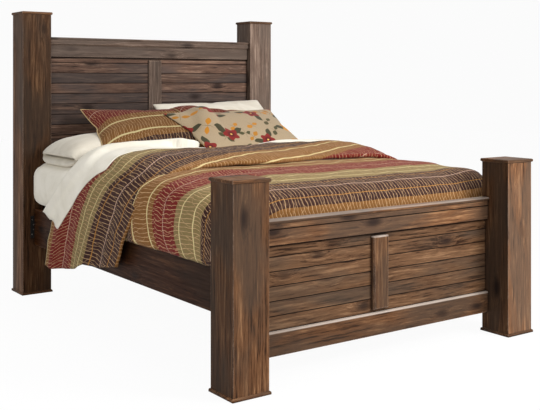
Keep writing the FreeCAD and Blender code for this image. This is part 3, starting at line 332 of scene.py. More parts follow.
FOOT_SCORE = 0.634
PLANK_PITCH = 0.0628
GROOVE = 0.008
# the numbers that the tones of the lowest planks are drawn with
HEAD_DRAWN = 854.0
FOOT_DRAWN = 635.0


def bottom_of(node):
    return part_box(node)[0][2]


def top_of(node):
    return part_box(node)[1][2]


head_start = bottom_of("headboard_planks") + GROOVE
foot_start = bottom_of("footboard_planks") + GROOVE
HEAD_BOARDS = (head_start, PLANK_PITCH, bottom_of("headboard_frieze_rail"), HEAD_DRAWN)
FOOT_BOARDS = (foot_start, PLANK_PITCH, bottom_of("footboard_top_rail"), FOOT_DRAWN)
# height and strength of the painted highlight on the footboard's bottom rail
foot_rail_highlight = (top_of("footboard_bottom_rail"), 0.85)
# faces= in the woods below is painted shading of left and front faces, darker or lighter as light falls on
# them
woods = {
    "head_post_left": wood("wood_head_post_left", "Z", POST_WOOD, faces=(0.92, 0.48)),
    "head_post_right": wood("wood_head_post_right", "Z", HEAD_LIT_WOOD, faces=(0.8, 1.25)),
    "foot_post_left": wood("wood_foot_post_left", "Z", POST_WOOD, faces=(0.56, 1.08)),
    "foot_post_right": wood("wood_foot_post_right", "Z", POST_WOOD, faces=(0.45, 1.6)),
    "headboard_mullion": wood("wood_head_mullion", "Z", HEAD_LIT_WOOD, faces=(1.0, 0.82)),
    # right=1.3 paints the head planks right of the mullion lighter, where the light falls brighter
    "headboard_planks": wood("wood_head_planks", "X", HEAD_PLANK_WOOD, boards=HEAD_BOARDS, right=1.3),
    "footboard_planks": wood("wood_foot_planks", "X", FOOT_PLANK_WOOD, boards=FOOT_BOARDS, vary=0.36),
    # the footboard's mullion, bottom rail and cap rail carry a painted highlight along their top edges
    "footboard_mullion": wood("wood_foot_mullion", "Z", POST_WOOD, highlit_edge=(top_of("footboard_mullion"), 0.7)),
    "footboard_bottom_rail": wood("wood_foot_rail", "X", POST_WOOD, highlit_edge=foot_rail_highlight),
    "footboard_cap_rail": wood("wood_foot_cap", "X", POST_WOOD, highlit_edge=(top_of("footboard_cap_rail"), 0.42)),
    "footboard_top_rail": wood("wood_foot_top_rail", "X", POST_WOOD, faces=(1.0, 1.24), scored=FOOT_SCORE),
    "head_rails": wood("wood_head_rails", "X", HEAD_LIT_WOOD, faces=(1.0, 0.84)),
    "caps": wood("wood_caps", "X", POST_WOOD, faces=(0.66, 0.96)),
    "across": wood("wood_across", "X", POST_WOOD, faces=(1.0, 1.08)),
    "along": wood("wood_along", "Y", SIDE_WOOD, faces=(0.24, 1.0)),
}
for way, axis in (("upright", "Z"), ("across", "X"), ("along", "Y")):
    woods["pale_" + way] = wood("pale_wood_" + way, axis, PALE_WOOD, knots=0.7, stain=0.3, rough=0.65)
# the woods of nodes that have none of their own, by the start of the name
WOOD_STARTS = (("side_rail", "along"), ("ledger", "pale_along"), ("centre_leg", "pale_upright"),
               ("slat_", "pale_across"), ("panel_dowels", "pale_across"), ("headboard", "head_rails"))


def wood_for(node):
    """Which wood a rigid node is cut from, by its name."""
    if node in woods:
        return woods[node]
    for start, kind in WOOD_STARTS:
        if node.startswith(start):
            return woods[kind]
    return woods["caps" if "_post_cap_" in node else "across"]


def steel(name, colour, rough, metal):
    """Pressed steel with a faint mottled finish."""
    shader = Shader(name)
    place = shader.make("ShaderNodeTexCoord", output="Object")
    mottle = shader.noise(place, 260.0, 4.0, 0.6)
    brushed = shader.noise(shader.vector("MULTIPLY", place, (1.0, 1.0, 0.05)), 900.0, 2.0, 0.5)
    darker = tuple(value * 0.6 for value in colour[:3]) + (1.0,)
    return shader.paint(colour=shader.mix(mottle, darker, colour), metal=metal,
                        rough=shader.span(mottle, 0.3, 0.7, rough - 0.08, rough + 0.1),
                        normal=shader.bump(brushed, 0.2, 0.0003))


METALS = {
    "black_steel": steel("black_steel", rgb(38, 37, 36), 0.45, 0.6),
    "zinc_screw": steel("zinc_screw", rgb(196, 196, 190), 0.3, 1.0),
    "black_plastic": steel("black_plastic", rgb(34, 34, 35), 0.55, 0.0),
}

slots = {part["node"]: part["material_slot"] for part in frame["record"]["subparts"]}
SOFT = ("box_spring", "mattress", "fitted_sheet", "top_sheet", "quilt", "pillow_left", "pillow_right",
        "sham_left", "sham_right", "throw_cushion")
for node in frame["nodes"]:
    if node in SOFT:
        continue
    materials = bpy.data.objects[node].data.materials
    materials.clear()
    materials.append(METALS.get(slots[node]) or wood_for(node))

# Camera and light

camera = bpy.data.objects.new("camera", bpy.data.cameras.new("camera"))
scene.collection.objects.link(camera)
camera.location = (-2.900, -4.2712, 1.2597)
camera.rotation_euler = Euler((math.radians(90), 0, math.radians(-35.48)))
camera.data.sensor_width = 36
camera.data.sensor_fit = "HORIZONTAL"
camera.data.lens = 62.30
camera.data.shift_y = -0.2296
scene.camera = camera


def lamp(name, place, aim, size, power):
    light = bpy.data.lights.new(name, "AREA")
    light.shape = "DISK"
    light.size = size
    light.energy = power
    item = bpy.data.objects.new(name, light)
    item.location = place
    item.rotation_euler = (Vector(aim) - Vector(place)).to_track_quat("-Z", "Y").to_euler()
    scene.collection.objects.link(item)


lamp("key", (2.4, -4.8, 3.4), (0.1, 0.0, 0.5), 2.4, 265)
lamp("fill", (-4.4, -2.4, 2.6), (0.0, 0.2, 0.6), 3.0, 68)
lamp("top", (0.2, -1.2, 4.4), (0.0, -0.2, 0.6), 3.0, 70)


def seen_directly(nodes):
    """1 for what the camera sees itself, in a mirror or through glass, and 0 for what only gives light."""
    rays = ("Is Camera Ray", "Is Glossy Ray", "Is Transmission Ray")
    straight, mirrored, through = nodes.make("ShaderNodeLightPath", output=rays)
    return nodes.math("MAXIMUM", straight, nodes.math("MAXIMUM", mirrored, through))


# A white background, dimmer as a source of light than as it is seen
SKY_LIGHT = 0.32
SKY_SEEN = 0.966
world = bpy.data.worlds.new("studio")
scene.world = world
world.use_nodes = True
sky = Nodes(world.node_tree)
strength = sky.make("ShaderNodeMapRange", {0: seen_directly(sky), 3: SKY_LIGHT, 4: SKY_SEEN})
back = sky.make("ShaderNodeBackground", {"Color": (1.0, 1.0, 1.0, 1.0), "Strength": strength})
sky.make("ShaderNodeOutputWorld", {"Surface": back})
scene.view_settings.view_transform = "Standard"

# A white floor that hardly shows
FLOOR_HALF = 15.0
FLOOR_LEVEL = -0.001
FLOOR_GLOW = 0.95
corners = [(x * FLOOR_HALF, y * FLOOR_HALF, FLOOR_LEVEL) for x, y in ((-1, -1), (1, -1), (1, 1), (-1, 1))]
floor_mesh = bpy.data.meshes.new("floor")
floor_mesh.from_pydata(corners, [], [(0, 1, 2, 3)])
floor = bpy.data.objects.new("floor", floor_mesh)
scene.collection.objects.link(floor)
floor_paint = Shader("floor_paint")
paleness = floor_paint.noise(floor_paint.make("ShaderNodeTexCoord", output="Object"), 1.5)
floor_paint.paint(colour=floor_paint.mix(paleness, rgb(248, 248, 248), rgb(255, 255, 255)), rough=0.9)
glow = floor_paint.make("ShaderNodeEmission", {"Strength": 1.0})
glowing = seen_directly(floor_paint) * FLOOR_GLOW
blend = floor_paint.make("ShaderNodeMixShader", {0: glowing, 1: floor_paint.lit, 2: glow})
floor_paint.feed(floor_paint.output.inputs["Surface"], blend)
floor_mesh.materials.append(floor_paint.material)

# Cloth

# each stripe: where it starts in the repeat, and its colour
STRIPES = ((0.00, rgb(134, 91, 46)), (0.21, rgb(116, 29, 25)), (0.44, rgb(138, 119, 77)),
           (0.62, rgb(58, 34, 30)))
STRIPE_REPEAT = 0.88
CREAM = rgb(222, 204, 150)
ROSE = rgb(206, 172, 152)
GOLD = rgb(176, 124, 60)
WEFT_TONE = rgb(40, 26, 22)
FADED_TONE = rgb(176, 140, 108)
STITCH_TONE = rgb(212, 174, 130)
# each long sewn line: its place in the repeat, half its width, its colour
SEWN_LINES = ((0.050, 0.0046, CREAM), (0.160, 0.0046, CREAM), (0.325, 0.0020, ROSE), (0.485, 0.0032, CREAM),
              (0.575, 0.0032, CREAM), (0.660, 0.0024, GOLD), (0.735, 0.0024, ROSE), (0.820, 0.0024, GOLD))
STITCH_BAND = 0.083
STITCH_WIDTH = 0.0013
# the families of stitches across the stripes: seed, spacing, how far they may lean, how strongly they show
STITCHES = ((1.0, 0.020, 2.2, 0.85), (5.0, 0.055, 2.4, 0.5))


def striped(name, level=1.0):
    """Quilted cotton: wide stripes, sewn lines along them and wavering stitches across, puckered between."""
    shader = Shader(name)
    flat = shader.cloth_place()
    u, v, _ = shader.split(flat)
    along = shader.noise(flat, 9.0, 2.0, 0.5) * 0.012 + v
    cycle = shader.math("FLOORED_MODULO", along, STRIPE_REPEAT) / STRIPE_REPEAT
    stops = [(start / STRIPE_REPEAT, colour) for start, colour in STRIPES]
    colour = shader.ramp(cycle, stops, "CONSTANT")
    weave = shader.noise(shader.vector("MULTIPLY", flat, (1.0, 5.0, 1.0)), 160.0, 3.0, 0.6)
    colour = shader.mix(shader.span(weave, 0.3, 0.75, 0.0, 0.3), colour, WEFT_TONE)
    fade = shader.noise(flat, 22.0, 3.0, 0.6)
    colour = shader.mix(shader.span(fade, 0.45, 0.8, 0.0, 0.14), colour, FADED_TONE)

    bands = along / STITCH_BAND
    band = shader.math("FLOOR", bands)
    within = bands - band
    ridge = shader.noise(flat, 55.0, 3.0, 0.6) * 0.6
    for seed, spacing, lean_most, strength in STITCHES:
        lean = (shader.chance(band + seed) - 0.5) * lean_most
        drift = shader.noise(shader.vector("ADD", flat, (seed, seed, 0.0)), 11.0, 2.0, 0.5)
        turn = drift * 1.5 + (band * 0.37 + (lean * within + u / spacing))
        valley = abs(shader.math("FRACT", turn) - 0.5)
        thin = STITCH_WIDTH / spacing
        stitch = shader.span(valley, thin * 1.3, thin * 0.6)
        patchy = shader.span(shader.noise(flat, 38.0 + seed, 2.0, 0.5), 0.3, 0.55, 0.4 * strength, strength)
        colour = shader.mix(stitch * patchy, colour, STITCH_TONE)
        ridge = shader.math("POWER", valley * 2.0, 0.6) * 0.6 + ridge
    cordy = shader.span(shader.noise(flat, 240.0, 1.0, 0.5), 0.3, 0.55, 0.6, 1.0)
    for place, half_width, thread in SEWN_LINES:
        away = abs(cycle - place / STRIPE_REPEAT)
        half = half_width / STRIPE_REPEAT
        colour = shader.mix(shader.span(away, half * 1.25, half * 0.75) * cordy, colour, thread)
        ridge = ridge - shader.span(away, half * 5.0, half) * 0.5
    # level darkens the whole cloth; the shams' copy is darkened as painted shade, as they face the light more
    # than the quilt
    colour = shader.mix(1.0, colour, (level, level, level, 1.0), "MULTIPLY")
    relief = shader.bump(ridge, 0.75, 0.004, shader.bump(weave, 0.3, 0.0006))
    return shader.paint(colour=colour, rough=0.86, normal=relief, specular=0.1, sheen=0.05)


THREADS = 5200.0
TICKS_PER_METRE = 40.0


def linen(name, base, shade, crumple=0.5, ticks=None):
    """Plain woven cotton with crossing threads and soft creases; ticks is the colour of ticking lines."""
    shader = Shader(name)
    flat = shader.cloth_place()
    u, v, _ = shader.split(flat)
    thread = shader.math("SINE", u * THREADS) * shader.math("SINE", v * THREADS)
    slub = shader.noise(shader.vector("MULTIPLY", flat, (1.0, 8.0, 1.0)), 90.0, 3.0, 0.6)
    crease = shader.noise(flat, 6.0, 4.0, 0.55, 0.8)
    colour = shader.mix(shader.span(crease, 0.25, 0.7), shade, base)
    colour = shader.mix(shader.span(slub, 0.55, 0.8, 0.0, 0.25), colour, shade)
    if ticks:
        lines = abs(shader.math("FRACT", u * TICKS_PER_METRE) - 0.5)
        colour = shader.mix(shader.span(lines, 0.16, 0.12), colour, ticks)
    fine = shader.bump(slub * 0.8 + thread, 0.25, 0.0004)
    return shader.paint(colour=colour, rough=shader.span(slub, 0.3, 0.7, 0.8, 0.92), specular=0.2, sheen=0.15,
                        normal=shader.bump(crease, crumple, 0.006, fine))


def printed(name):
    """Natural linen printed with loose rosettes, paired leaves and gold sprigs on a scattered layout."""
    shader = Shader(name)
    flat = shader.cloth_place()
    wobble = (shader.noise(flat, 60.0, 2.0) - 0.5) * 0.006
    loose = shader.vector("ADD", flat, shader.join(wobble, wobble, 0.0))
    weave = shader.noise(shader.vector("MULTIPLY", flat, (1.0, 6.0, 1.0)), 150.0, 3.0, 0.6)
    colour = shader.mix(shader.span(weave, 0.3, 0.7), rgb(150, 130, 103), rgb(174, 154, 125))

    def scatter(scale, shift):
        """Offsets from the nearest of many scattered centres, turned by that centre's own chance."""
        moved = shader.vector("ADD", loose, (shift, shift * 0.7, 0.0))
        cells = {"Vector": moved, "Scale": scale, "Randomness": 0.75}
        outputs = ("Position", "Color")
        centre, luck = shader.make("ShaderNodeTexVoronoi", cells, outputs, voronoi_dimensions="2D")
        x, y, _ = shader.split(shader.vector("SUBTRACT", moved, centre))
        chance, other, _ = shader.split(luck)
        angle = chance * 6.283
        cosine = shader.math("COSINE", angle)
        sine = shader.math("SINE", angle)
        return x * cosine + y * sine, y * cosine - x * sine, other

    def inside(distance):
        return shader.span(distance, -0.0006, 0.0012)

    def leaf(along, across, start, length, width):
        """How far inside a pointed leaf that lies along one axis."""
        run = shader.math("DIVIDE", along - start, length, clamp=True)
        return inside(shader.math("SINE", run * 3.1416) * width - abs(across))

    along, across, other = scatter(6.6, 0.31)
    small = leaf(along, across, -0.056, 0.052, 0.015)
    large = leaf(along, across, 0.004, 0.058, 0.018)
    stem = leaf(across, along, -0.055, 0.11, 0.0016)
    colour = shader.mix(stem, colour, rgb(96, 74, 40))
    sprig_tone = shader.mix(shader.span(other, 0.45, 0.55), rgb(178, 118, 36), rgb(70, 66, 40))
    colour = shader.mix(shader.math("MAXIMUM", small, large), colour, sprig_tone)
    along, across, other = scatter(4.0, 0.0)
    for sign in (1.0, -1.0):
        leaves = leaf(along * sign, along * (0.55 * sign) + across, 0.020, 0.084, 0.026)
        colour = shader.mix(leaves, colour, rgb(62, 58, 38))
    reach = shader.math("SQRT", along * along + across * across)
    petals = shader.math("COSINE", shader.math("ARCTAN2", across, along) * 5.0) * 0.009 + 0.050
    red = shader.mix(shader.span(reach, 0.008, 0.038), rgb(78, 18, 18), rgb(122, 32, 28))
    bloom = shader.mix(shader.span(other, 0.72, 0.76), red, rgb(190, 130, 48))
    colour = shader.mix(inside(petals - reach), colour, bloom)
    colour = shader.mix(shader.span(reach, 0.0085, 0.0065), colour, rgb(214, 168, 90))
    relief = shader.bump(weave, 0.3, 0.0006)
    return shader.paint(colour=colour, rough=0.85, specular=0.2, sheen=0.1, normal=relief)


QUILTING = striped("striped_quilt")
# the shams' quilting is a darker copy of the quilt's, painted shade for cloth that faces the light more
SHADED_SHAM_QUILTING = striped("striped_sham_shaded", 0.68)
SHEETING = linen("white_sheeting", rgb(246, 240, 226), rgb(231, 224, 207), 0.45)
CASING = linen("pillow_casing", rgb(224, 217, 202), rgb(206, 197, 180), 0.5)
TICKING = linen("mattress_ticking", rgb(226, 222, 212), rgb(204, 199, 187), 0.25, ticks=rgb(146, 152, 164))
PRINT = printed("printed_cotton")
PIPING = linen("pale_piping", rgb(196, 168, 120), rgb(160, 128, 84), 0.1)


def add_piece(name, mesh, material, body):
    """A named piece of one material, riding on a body."""
    mesh.materials.clear()
    mesh.materials.append(material)
    piece = bpy.data.objects.new(name, mesh)
    scene.collection.objects.link(piece)
    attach(piece, body)
    return piece


def add_mesh(name, points, faces, flats, material, body):
    """A named smooth mesh with its flat cloth places as UVs, riding on a body."""
    mesh = bpy.data.meshes.new(name)
    mesh.from_pydata([tuple(point) for point in points], [], faces)
    layer = mesh.uv_layers.new(name="flat")
    index = np.empty(len(mesh.loops), dtype=np.int32)
    mesh.loops.foreach_get("vertex_index", index)
    layer.data.foreach_set("uv", np.asarray(flats, dtype=np.float32)[index].ravel())
    mesh.polygons.foreach_set("use_smooth", [True] * len(mesh.polygons))
    return add_piece(name, mesh, material, body)


def grid_faces(rows, columns):
    faces = []
    for row in range(rows - 1):
        for column in range(columns - 1):
            corner = row * columns + column
            faces.append((corner, corner + columns, corner + columns + 1, corner + 1))
    return faces


def cloth(name, points, flats, material, body, thick):
    """A sheet of cloth through a grid of points, thickened inward."""
    rows, columns = points.shape[:2]
    faces = grid_faces(rows, columns)
    piece = add_mesh(name, points.reshape(-1, 3), faces, flats.reshape(-1, 2), material, body)
    solid = piece.modifiers.new("thickness", "SOLIDIFY")
    solid.thickness = thick
    solid.offset = -1.0
    apply_modifiers(piece)
    return piece


def finished_mesh(item):
    """A new mesh of a curve, or of a mesh as its modifiers leave it."""
    graph = bpy.context.evaluated_depsgraph_get()
    return bpy.data.meshes.new_from_object(item.evaluated_get(graph))


def apply_modifiers(piece):
    mesh = finished_mesh(piece)
    old = piece.data
    piece.modifiers.clear()
    piece.data = mesh
    bpy.data.meshes.remove(old)


def tree_of(piece):
    graph = bpy.context.evaluated_depsgraph_get()
    return BVHTree.FromObject(piece, graph)


def grid_normals(points):
    down = np.gradient(points, axis=0)
    across = np.gradient(points, axis=1)
    normal = np.cross(down, across)
    return normal / np.maximum(np.linalg.norm(normal, axis=2, keepdims=True), 1e-9)


def hills(points, size, seed):
    """Soft random heights, about -1 to 1, over a grid of points."""
    flat = points.reshape(-1, 3) / size + np.array((seed * 3.1, seed * 1.7, seed))
    heights = [noise.noise(Vector(point)) for point in flat]
    return np.array(heights).reshape(points.shape[:-1])


def raised(points, heights):
    """A grid of points moved out by a height each."""
    return points + grid_normals(points) * heights[:, :, None]


def ease(value, low, high):
    share = np.clip((value - low) / (high - low), 0.0, 1.0)
    return share * share * (3.0 - 2.0 * share)


# The lie of the bedding, in distances from the front face of the foot posts

FOOT_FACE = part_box("foot_post_left")[0][1]
MATTRESS_LOW, MATTRESS_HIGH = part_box("mattress")
FOOT_SINK = 0.112
FOOT_SINK_REACH = 0.11
# the tucked covers draw the foot end in: share of the sink, and how far along the bed it is felt
FOOT_DRAW = 0.17
FOOT_DRAW_REACH = 0.06
COVERS = "mattress_and_covers"


def section(half_width, shoulder, power, tuck=()):
    """One side of a cross-section: distance round it, then x and the fall below the crest."""
    x = half_width * np.sin(np.linspace(0.0, math.pi / 2, 300))
    fall = shoulder * (1.0 - np.sqrt(np.maximum(0.0, 1.0 - (x / half_width) ** power)))
    for next_x, next_fall in tuck:
        x = np.append(x, next_x)
        fall = np.append(fall, next_fall)
    distance = np.concatenate(([0.0], np.cumsum(np.hypot(np.diff(x), np.diff(fall)))))
    return distance, x, fall


def round_section(form, distance):
    return np.interp(distance, form[0], form[1]), np.interp(distance, form[0], form[2])


# each form: half its width, how far its shoulder falls, how square that is, and the way on below it
HEAD_FORM = section(0.872, 0.250, 7.5, ((0.872, 0.85),))
FOOT_TUCK = ((0.861, 0.16), (0.862, 0.22), (0.861, 0.27), (0.856, 0.305), (0.848, 0.324), (0.839, 0.328),
             (0.835, 0.320))
FOOT_FORM = section(0.858, 0.110, 14.0, FOOT_TUCK)
FOOT_RIGHT_FORM = section(0.864, 0.045, 30.0, FOOT_TUCK)
# on the right, the head part squares up near the fold, and the foot part below it is rounder
HEAD_FOLD_FORM = section(0.878, 0.135, 11.0, ((0.878, 0.85),))
FOOT_UNDER_TUCK = ((0.856, 0.27), (0.853, 0.305), (0.847, 0.324), (0.839, 0.328), (0.835, 0.320))
FOOT_UNDER_FORM = section(0.856, 0.130, 12.0, FOOT_UNDER_TUCK)
FOOT_HEM = 0.489
SHEET_FORM = section(0.884, 0.250, 7.5, ((0.884, 0.85),))

# the edge between the brown and the tan stripe on the head part: across the bed, and along it
SLANT_X = (-0.9, -0.80, -0.62, -0.41, -0.21, 0.0, 0.2, 0.45, 0.72, 0.9)
SLANT_Y = (0.725, 0.770, 0.875, 0.970, 1.030, 1.075, 1.155, 1.235, 1.32, 1.38)
STRETCH = 0.9
BROWN_TAN = STRIPE_REPEAT
# the fold: across the bed, and along it
FOLD_X = (-0.872, -0.80, -0.60, -0.40, -0.20, 0.0, 0.25, 0.45, 0.63, 0.75, 0.872)
FOLD_Y = (0.745, 0.780, 0.855, 0.895, 0.900, 0.905, 0.985, 1.010, 0.975, 0.945, 0.910)
# below this height the covers hang
HANG_FROM = 0.82
# the pull on the left side at its head edge, how much it grows and how it slackens; the pull on the right
LEFT_PULL = 0.74
LEFT_PULL_GROWTH = 0.21
LEFT_PULL_SLACK = 0.55
RIGHT_PULL = 0.35
# on the hanging side the cloth is bunched: length from the head edge, and the length of cloth that lies there
HANGING_V = (0.0, 0.10, 0.40, 0.56, 0.88, 2.0)
STRIPED_V = (0.115, 0.21, 0.44, 0.62, 0.88, 2.0)
# how the hem rises and falls along the hanging side, by the length from the head edge
HEM_V = (0.0, 0.08, 0.14, 0.44, 0.56, 0.66, 0.88)
HEM_RISE = (0.014, 0.0, -0.014, -0.014, 0.016, 0.0, 0.014)
# the height of each side's hem at the head edge, and its rise for each metre of cloth
LEFT_HEM = (0.21, 0.15)
RIGHT_HEM = (0.29, 0.06)


def slant(x):
    """Where the edge between the brown and the tan stripe runs on the head part, which lies askew."""
    return np.interp(x, SLANT_X, SLANT_Y)


def fold_place(x):
    return np.interp(x, FOLD_X, FOLD_Y)


def drag(fall, x, v=STRIPE_REPEAT):
    """How far the hanging side is pulled towards the head by its fall; less near the head edge."""
    pull = LEFT_PULL + LEFT_PULL_GROWTH * np.clip((v - 0.1) / 0.4, 0.0, 1.0)
    return np.where(x < 0, pull * fall - LEFT_PULL_SLACK * pull * fall ** 2, RIGHT_PULL * fall)


# the dip along the head end of the quilt, across the bed
DIP_X = (-0.75, -0.55, -0.20, 0.145, 0.37, 0.60)
DIP = (0.0, 0.010, 0.018, 0.010, 0.005, 0.0)
HEAD_LEVEL = 0.848
HEAD_RISE = 0.064
HEAD_RISE_REACH = 0.42
UNDER_PILLOWS = 0.055
UNDER_CUSHION = 0.052
# the height of the foot part, along the bed
FOOT_CREST_Y = (0.24, 0.31, 0.41, 0.60, 0.83, 1.1)
FOOT_CREST = (0.742, 0.776, 0.794, 0.810, 0.822, 0.824)
# the front of what the cushion presses down, across the bed and along it, and where the press is full
PRESS_X = (0.15, 0.32)
PRESS_Y = (1.31, 1.39)
PRESS_FULL_Y = 1.50
PRESS_LEFT_WIDTH = 0.22
PRESS_RIGHT = (0.68, 0.80)


def pressed(x, y, left=-0.40):
    """The share of the cushion's press on the covers, which starts at the left given."""
    front = np.interp(x, PRESS_X, PRESS_Y)
    sideways = ease(x, left, left + PRESS_LEFT_WIDTH) * (1.0 - ease(x, *PRESS_RIGHT))
    return sideways * ease(y, front, PRESS_FULL_Y)


def head_crest(y, x):
    """Height of the head part along the bed: it sinks towards the fold and under the pillows."""
    rise = np.clip((y - fold_place(x)) / HEAD_RISE_REACH, 0.0, 1.0)
    crest = HEAD_LEVEL + HEAD_RISE * (1.0 - (1.0 - rise) ** 2)
    crest = crest - np.interp(x, DIP_X, DIP) * ease(y, 1.02, 1.25)
    return crest - UNDER_PILLOWS * ease(y, 1.42, 1.70) - UNDER_CUSHION * pressed(x, y)


def foot_crest(y):
    return np.interp(y, FOOT_CREST_Y, FOOT_CREST)


def right_corner(x, y):
    """How much fuller the quilt is at its right foot corner."""
    return 0.022 * ease(x, 0.55, 0.82) * (1.0 - ease(y, 0.28, 0.48))


# Quilt: the head part rolls under itself at the fold, and the foot part runs on to a tuck at the foot

COLUMNS = 171
across = np.linspace(-1.0, 1.0, COLUMNS)
side = np.sign(across)
HEAD_ROWS = 84
HEAD_EDGE_Y = 1.67
# about the length of cloth from the middle of the bed to a hem
HALF_CLOTH = 1.40
# how far from the fold the right side stays square
SQUARE_REACH = (0.28, 0.48)


def head_part():
    share = np.linspace(0.0, 1.0, HEAD_ROWS)[:, None]
    rough_x = side * round_section(HEAD_FORM, np.abs(across) * HALF_CLOTH)[0]
    first = BROWN_TAN + STRETCH * (slant(rough_x) - HEAD_EDGE_Y)
    last = BROWN_TAN + STRETCH * (slant(rough_x) - fold_place(rough_x))
    v = first + share * (last - first)
    left_hem = LEFT_HEM[0] + LEFT_HEM[1] * v + np.interp(v, HEM_V, HEM_RISE)
    hem = np.where(across < 0, left_hem, RIGHT_HEM[0] + RIGHT_HEM[1] * v)
    edge = side * HEAD_FORM[1][-1]
    crest = head_crest(slant(edge) - (v - BROWN_TAN) / STRETCH, edge)
    reach = np.interp(crest - hem, HEAD_FORM[2], HEAD_FORM[0])
    u = across * reach
    x, fall = round_section(HEAD_FORM, np.abs(u))
    x = x * side
    y = slant(x) - (v - BROWN_TAN) / STRETCH
    fold_x, fold_fall = round_section(HEAD_FOLD_FORM, np.abs(u))
    squared = (1.0 - ease(y - fold_place(x), *SQUARE_REACH)) * (side > 0)
    x = x + (fold_x - x) * squared
    z = head_crest(y, x) - fall - (fold_fall - fall) * squared
    fallen = np.maximum(0.0, HANG_FROM - z)
    y = y + drag(fallen, x, v)
    points = np.stack((x, y, z), axis=2)
    swing = ease(fallen, 0.02, 0.45)
    wave = 0.010 * np.sin(v * 15.0 + 0.6) + 0.006 * np.sin(v * 31.0 + 2.0 + fallen * 3.0)
    lumps = 0.007 * hills(points, 0.16, 1) + 0.004 * hills(points, 0.07, 2)
    points = raised(points, swing * wave + lumps)
    bunched = np.interp(v, HANGING_V, STRIPED_V)
    printed_v = v + (bunched - v) * ease(HANG_FROM - z, -0.06, 0.10) * (x < 0)
    return points, np.stack((np.broadcast_to(u, v.shape), printed_v), axis=2)


ROLL_RADIUS = 0.012
ROLL_STEP = 0.02


def roll_part(points, flats):
    """The quilt turning under itself in front of the head part."""
    normal = grid_normals(points)[-1]
    ahead = points[-1] - points[-4]
    ahead = ahead / np.linalg.norm(ahead, axis=1, keepdims=True)
    hanging = np.clip((0.80 - points[-1][:, 2:3]) / 0.14, 0.0, 1.0)
    radius = ROLL_RADIUS - 0.004 * hanging
    rows = []
    marks = []
    for step in range(1, 8):
        angle = math.pi * step / 7
        rows.append(points[-1] + ahead * radius * math.sin(angle) - normal * radius * (1.0 - math.cos(angle)))
        marks.append(flats[-1] + np.array((0.0, ROLL_RADIUS * angle)))
    for step in range(1, 4):
        under = rows[6] - ahead * ROLL_STEP * step
        under[:, 2] = np.maximum(under[:, 2], FOOT_HEM * step / 3)
        rows.append(under)
        marks.append(marks[6] + np.array((0.0, ROLL_STEP * step)))
    return np.array(rows), np.array(marks)


FOOT_ROWS = 44
# how far the foot part runs on under the fold
FOOT_UNDERLAP = 0.06
DROP_ROWS = 21
# the drop at the foot end: along the bed, and its height
DROP_PROFILE = ((0.300, 0.770), (0.270, 0.757), (0.245, 0.741), (0.225, 0.722), (0.208, 0.698),
                (0.197, 0.670), (0.190, 0.640), (0.187, 0.600), (0.186, 0.560), (0.186, 0.515))
FOOT_CORNER = 0.055
TAN_RED = 2 * STRIPE_REPEAT + 0.21
# travel from the first tan and red edge towards the foot, and what of the cloth's length has gone by then
FOOT_TRAVEL = (-0.5, 0.0, 0.20, 0.37, 0.576, 0.90)
FOOT_LENGTH = (-0.55, 0.0, 0.23, 0.41, 0.67, 1.03)


def foot_part():
    reach = FOOT_FORM[0][-1]
    u = across * reach
    left_form = round_section(FOOT_FORM, np.abs(u))
    right_form = round_section(FOOT_RIGHT_FORM, np.abs(u))
    x, fall = np.where(side < 0, left_form, right_form)
    x = x * side
    under_x, under_fall = round_section(FOOT_UNDER_FORM, np.abs(u))
    start = fold_place(x) + FOOT_UNDERLAP
    rows = []
    marks = []
    stripe_edge = 0.76 - 0.10 * ease(-x, 0.45, 0.86)
    for share in np.linspace(0.0, 1.0, FOOT_ROWS):
        y = start + (DROP_PROFILE[0][0] - start) * share
        under = ease(y, fold_place(x) - 0.24, fold_place(x) - 0.04) * (side > 0)
        row_x = x + (under_x - x) * under
        row_fall = fall + (under_fall - fall) * under
        crest = foot_crest(y) + right_corner(x, y)
        z = crest - row_fall * (crest - FOOT_HEM) / FOOT_TUCK[-2][1]
        pull = 0.06 * np.sin(math.pi * np.clip((0.80 - z) / 0.34, 0.0, 1.0)) * ease(y, 0.22, 0.5)
        drag_back = drag(np.maximum(0.0, HANG_FROM - z), x) * ease(y, 0.70, 0.95) * 0.75
        rows.append(np.stack((row_x, y + pull + drag_back, z), axis=1))
        gone = stripe_edge - y
        marks.append(np.stack((u, TAN_RED + np.interp(gone, FOOT_TRAVEL, FOOT_LENGTH)), axis=1))
    corner_z = rows[-1][:, 2]
    flank = np.clip(np.abs(x) / 0.86, 0.0, 1.0) ** 6
    places = np.array(DROP_PROFILE)
    lengths = np.concatenate(([0.0], np.cumsum(np.hypot(np.diff(places[:, 0]), np.diff(places[:, 1])))))
    for travel in np.linspace(0.0, lengths[-1], DROP_ROWS + 1)[1:]:
        y = np.interp(travel, lengths, places[:, 0])
        z = np.interp(travel, lengths, places[:, 1]) + right_corner(x, y) * (1.0 - travel / lengths[-1]) ** 2
        low = np.minimum(corner_z, places[-1][1])
        depth = np.clip((places[-1][0] + FOOT_CORNER - y) / FOOT_CORNER, 0.0, 1.0)
        rounding = FOOT_CORNER * (1.0 - math.sqrt(1.0 - depth ** 2))
        inward = rounding + 0.10 * max(0.0, travel / lengths[-1] - 0.5)
        row = (x - side * inward * flank, y + 0.004 * flank, np.maximum(z - fall, low))
        rows.append(np.stack(row, axis=1))
        marks.append(np.stack((u, TAN_RED + np.interp(gone + travel, FOOT_TRAVEL, FOOT_LENGTH)), axis=1))
    points = np.array(rows)
    calm = ease(points[:, :, 1], 0.19, 0.30)
    lumps = 0.003 + 0.006 * hills(points, 0.15, 5) + 0.003 * hills(points, 0.06, 6)
    return raised(points, lumps * calm), np.array(marks)


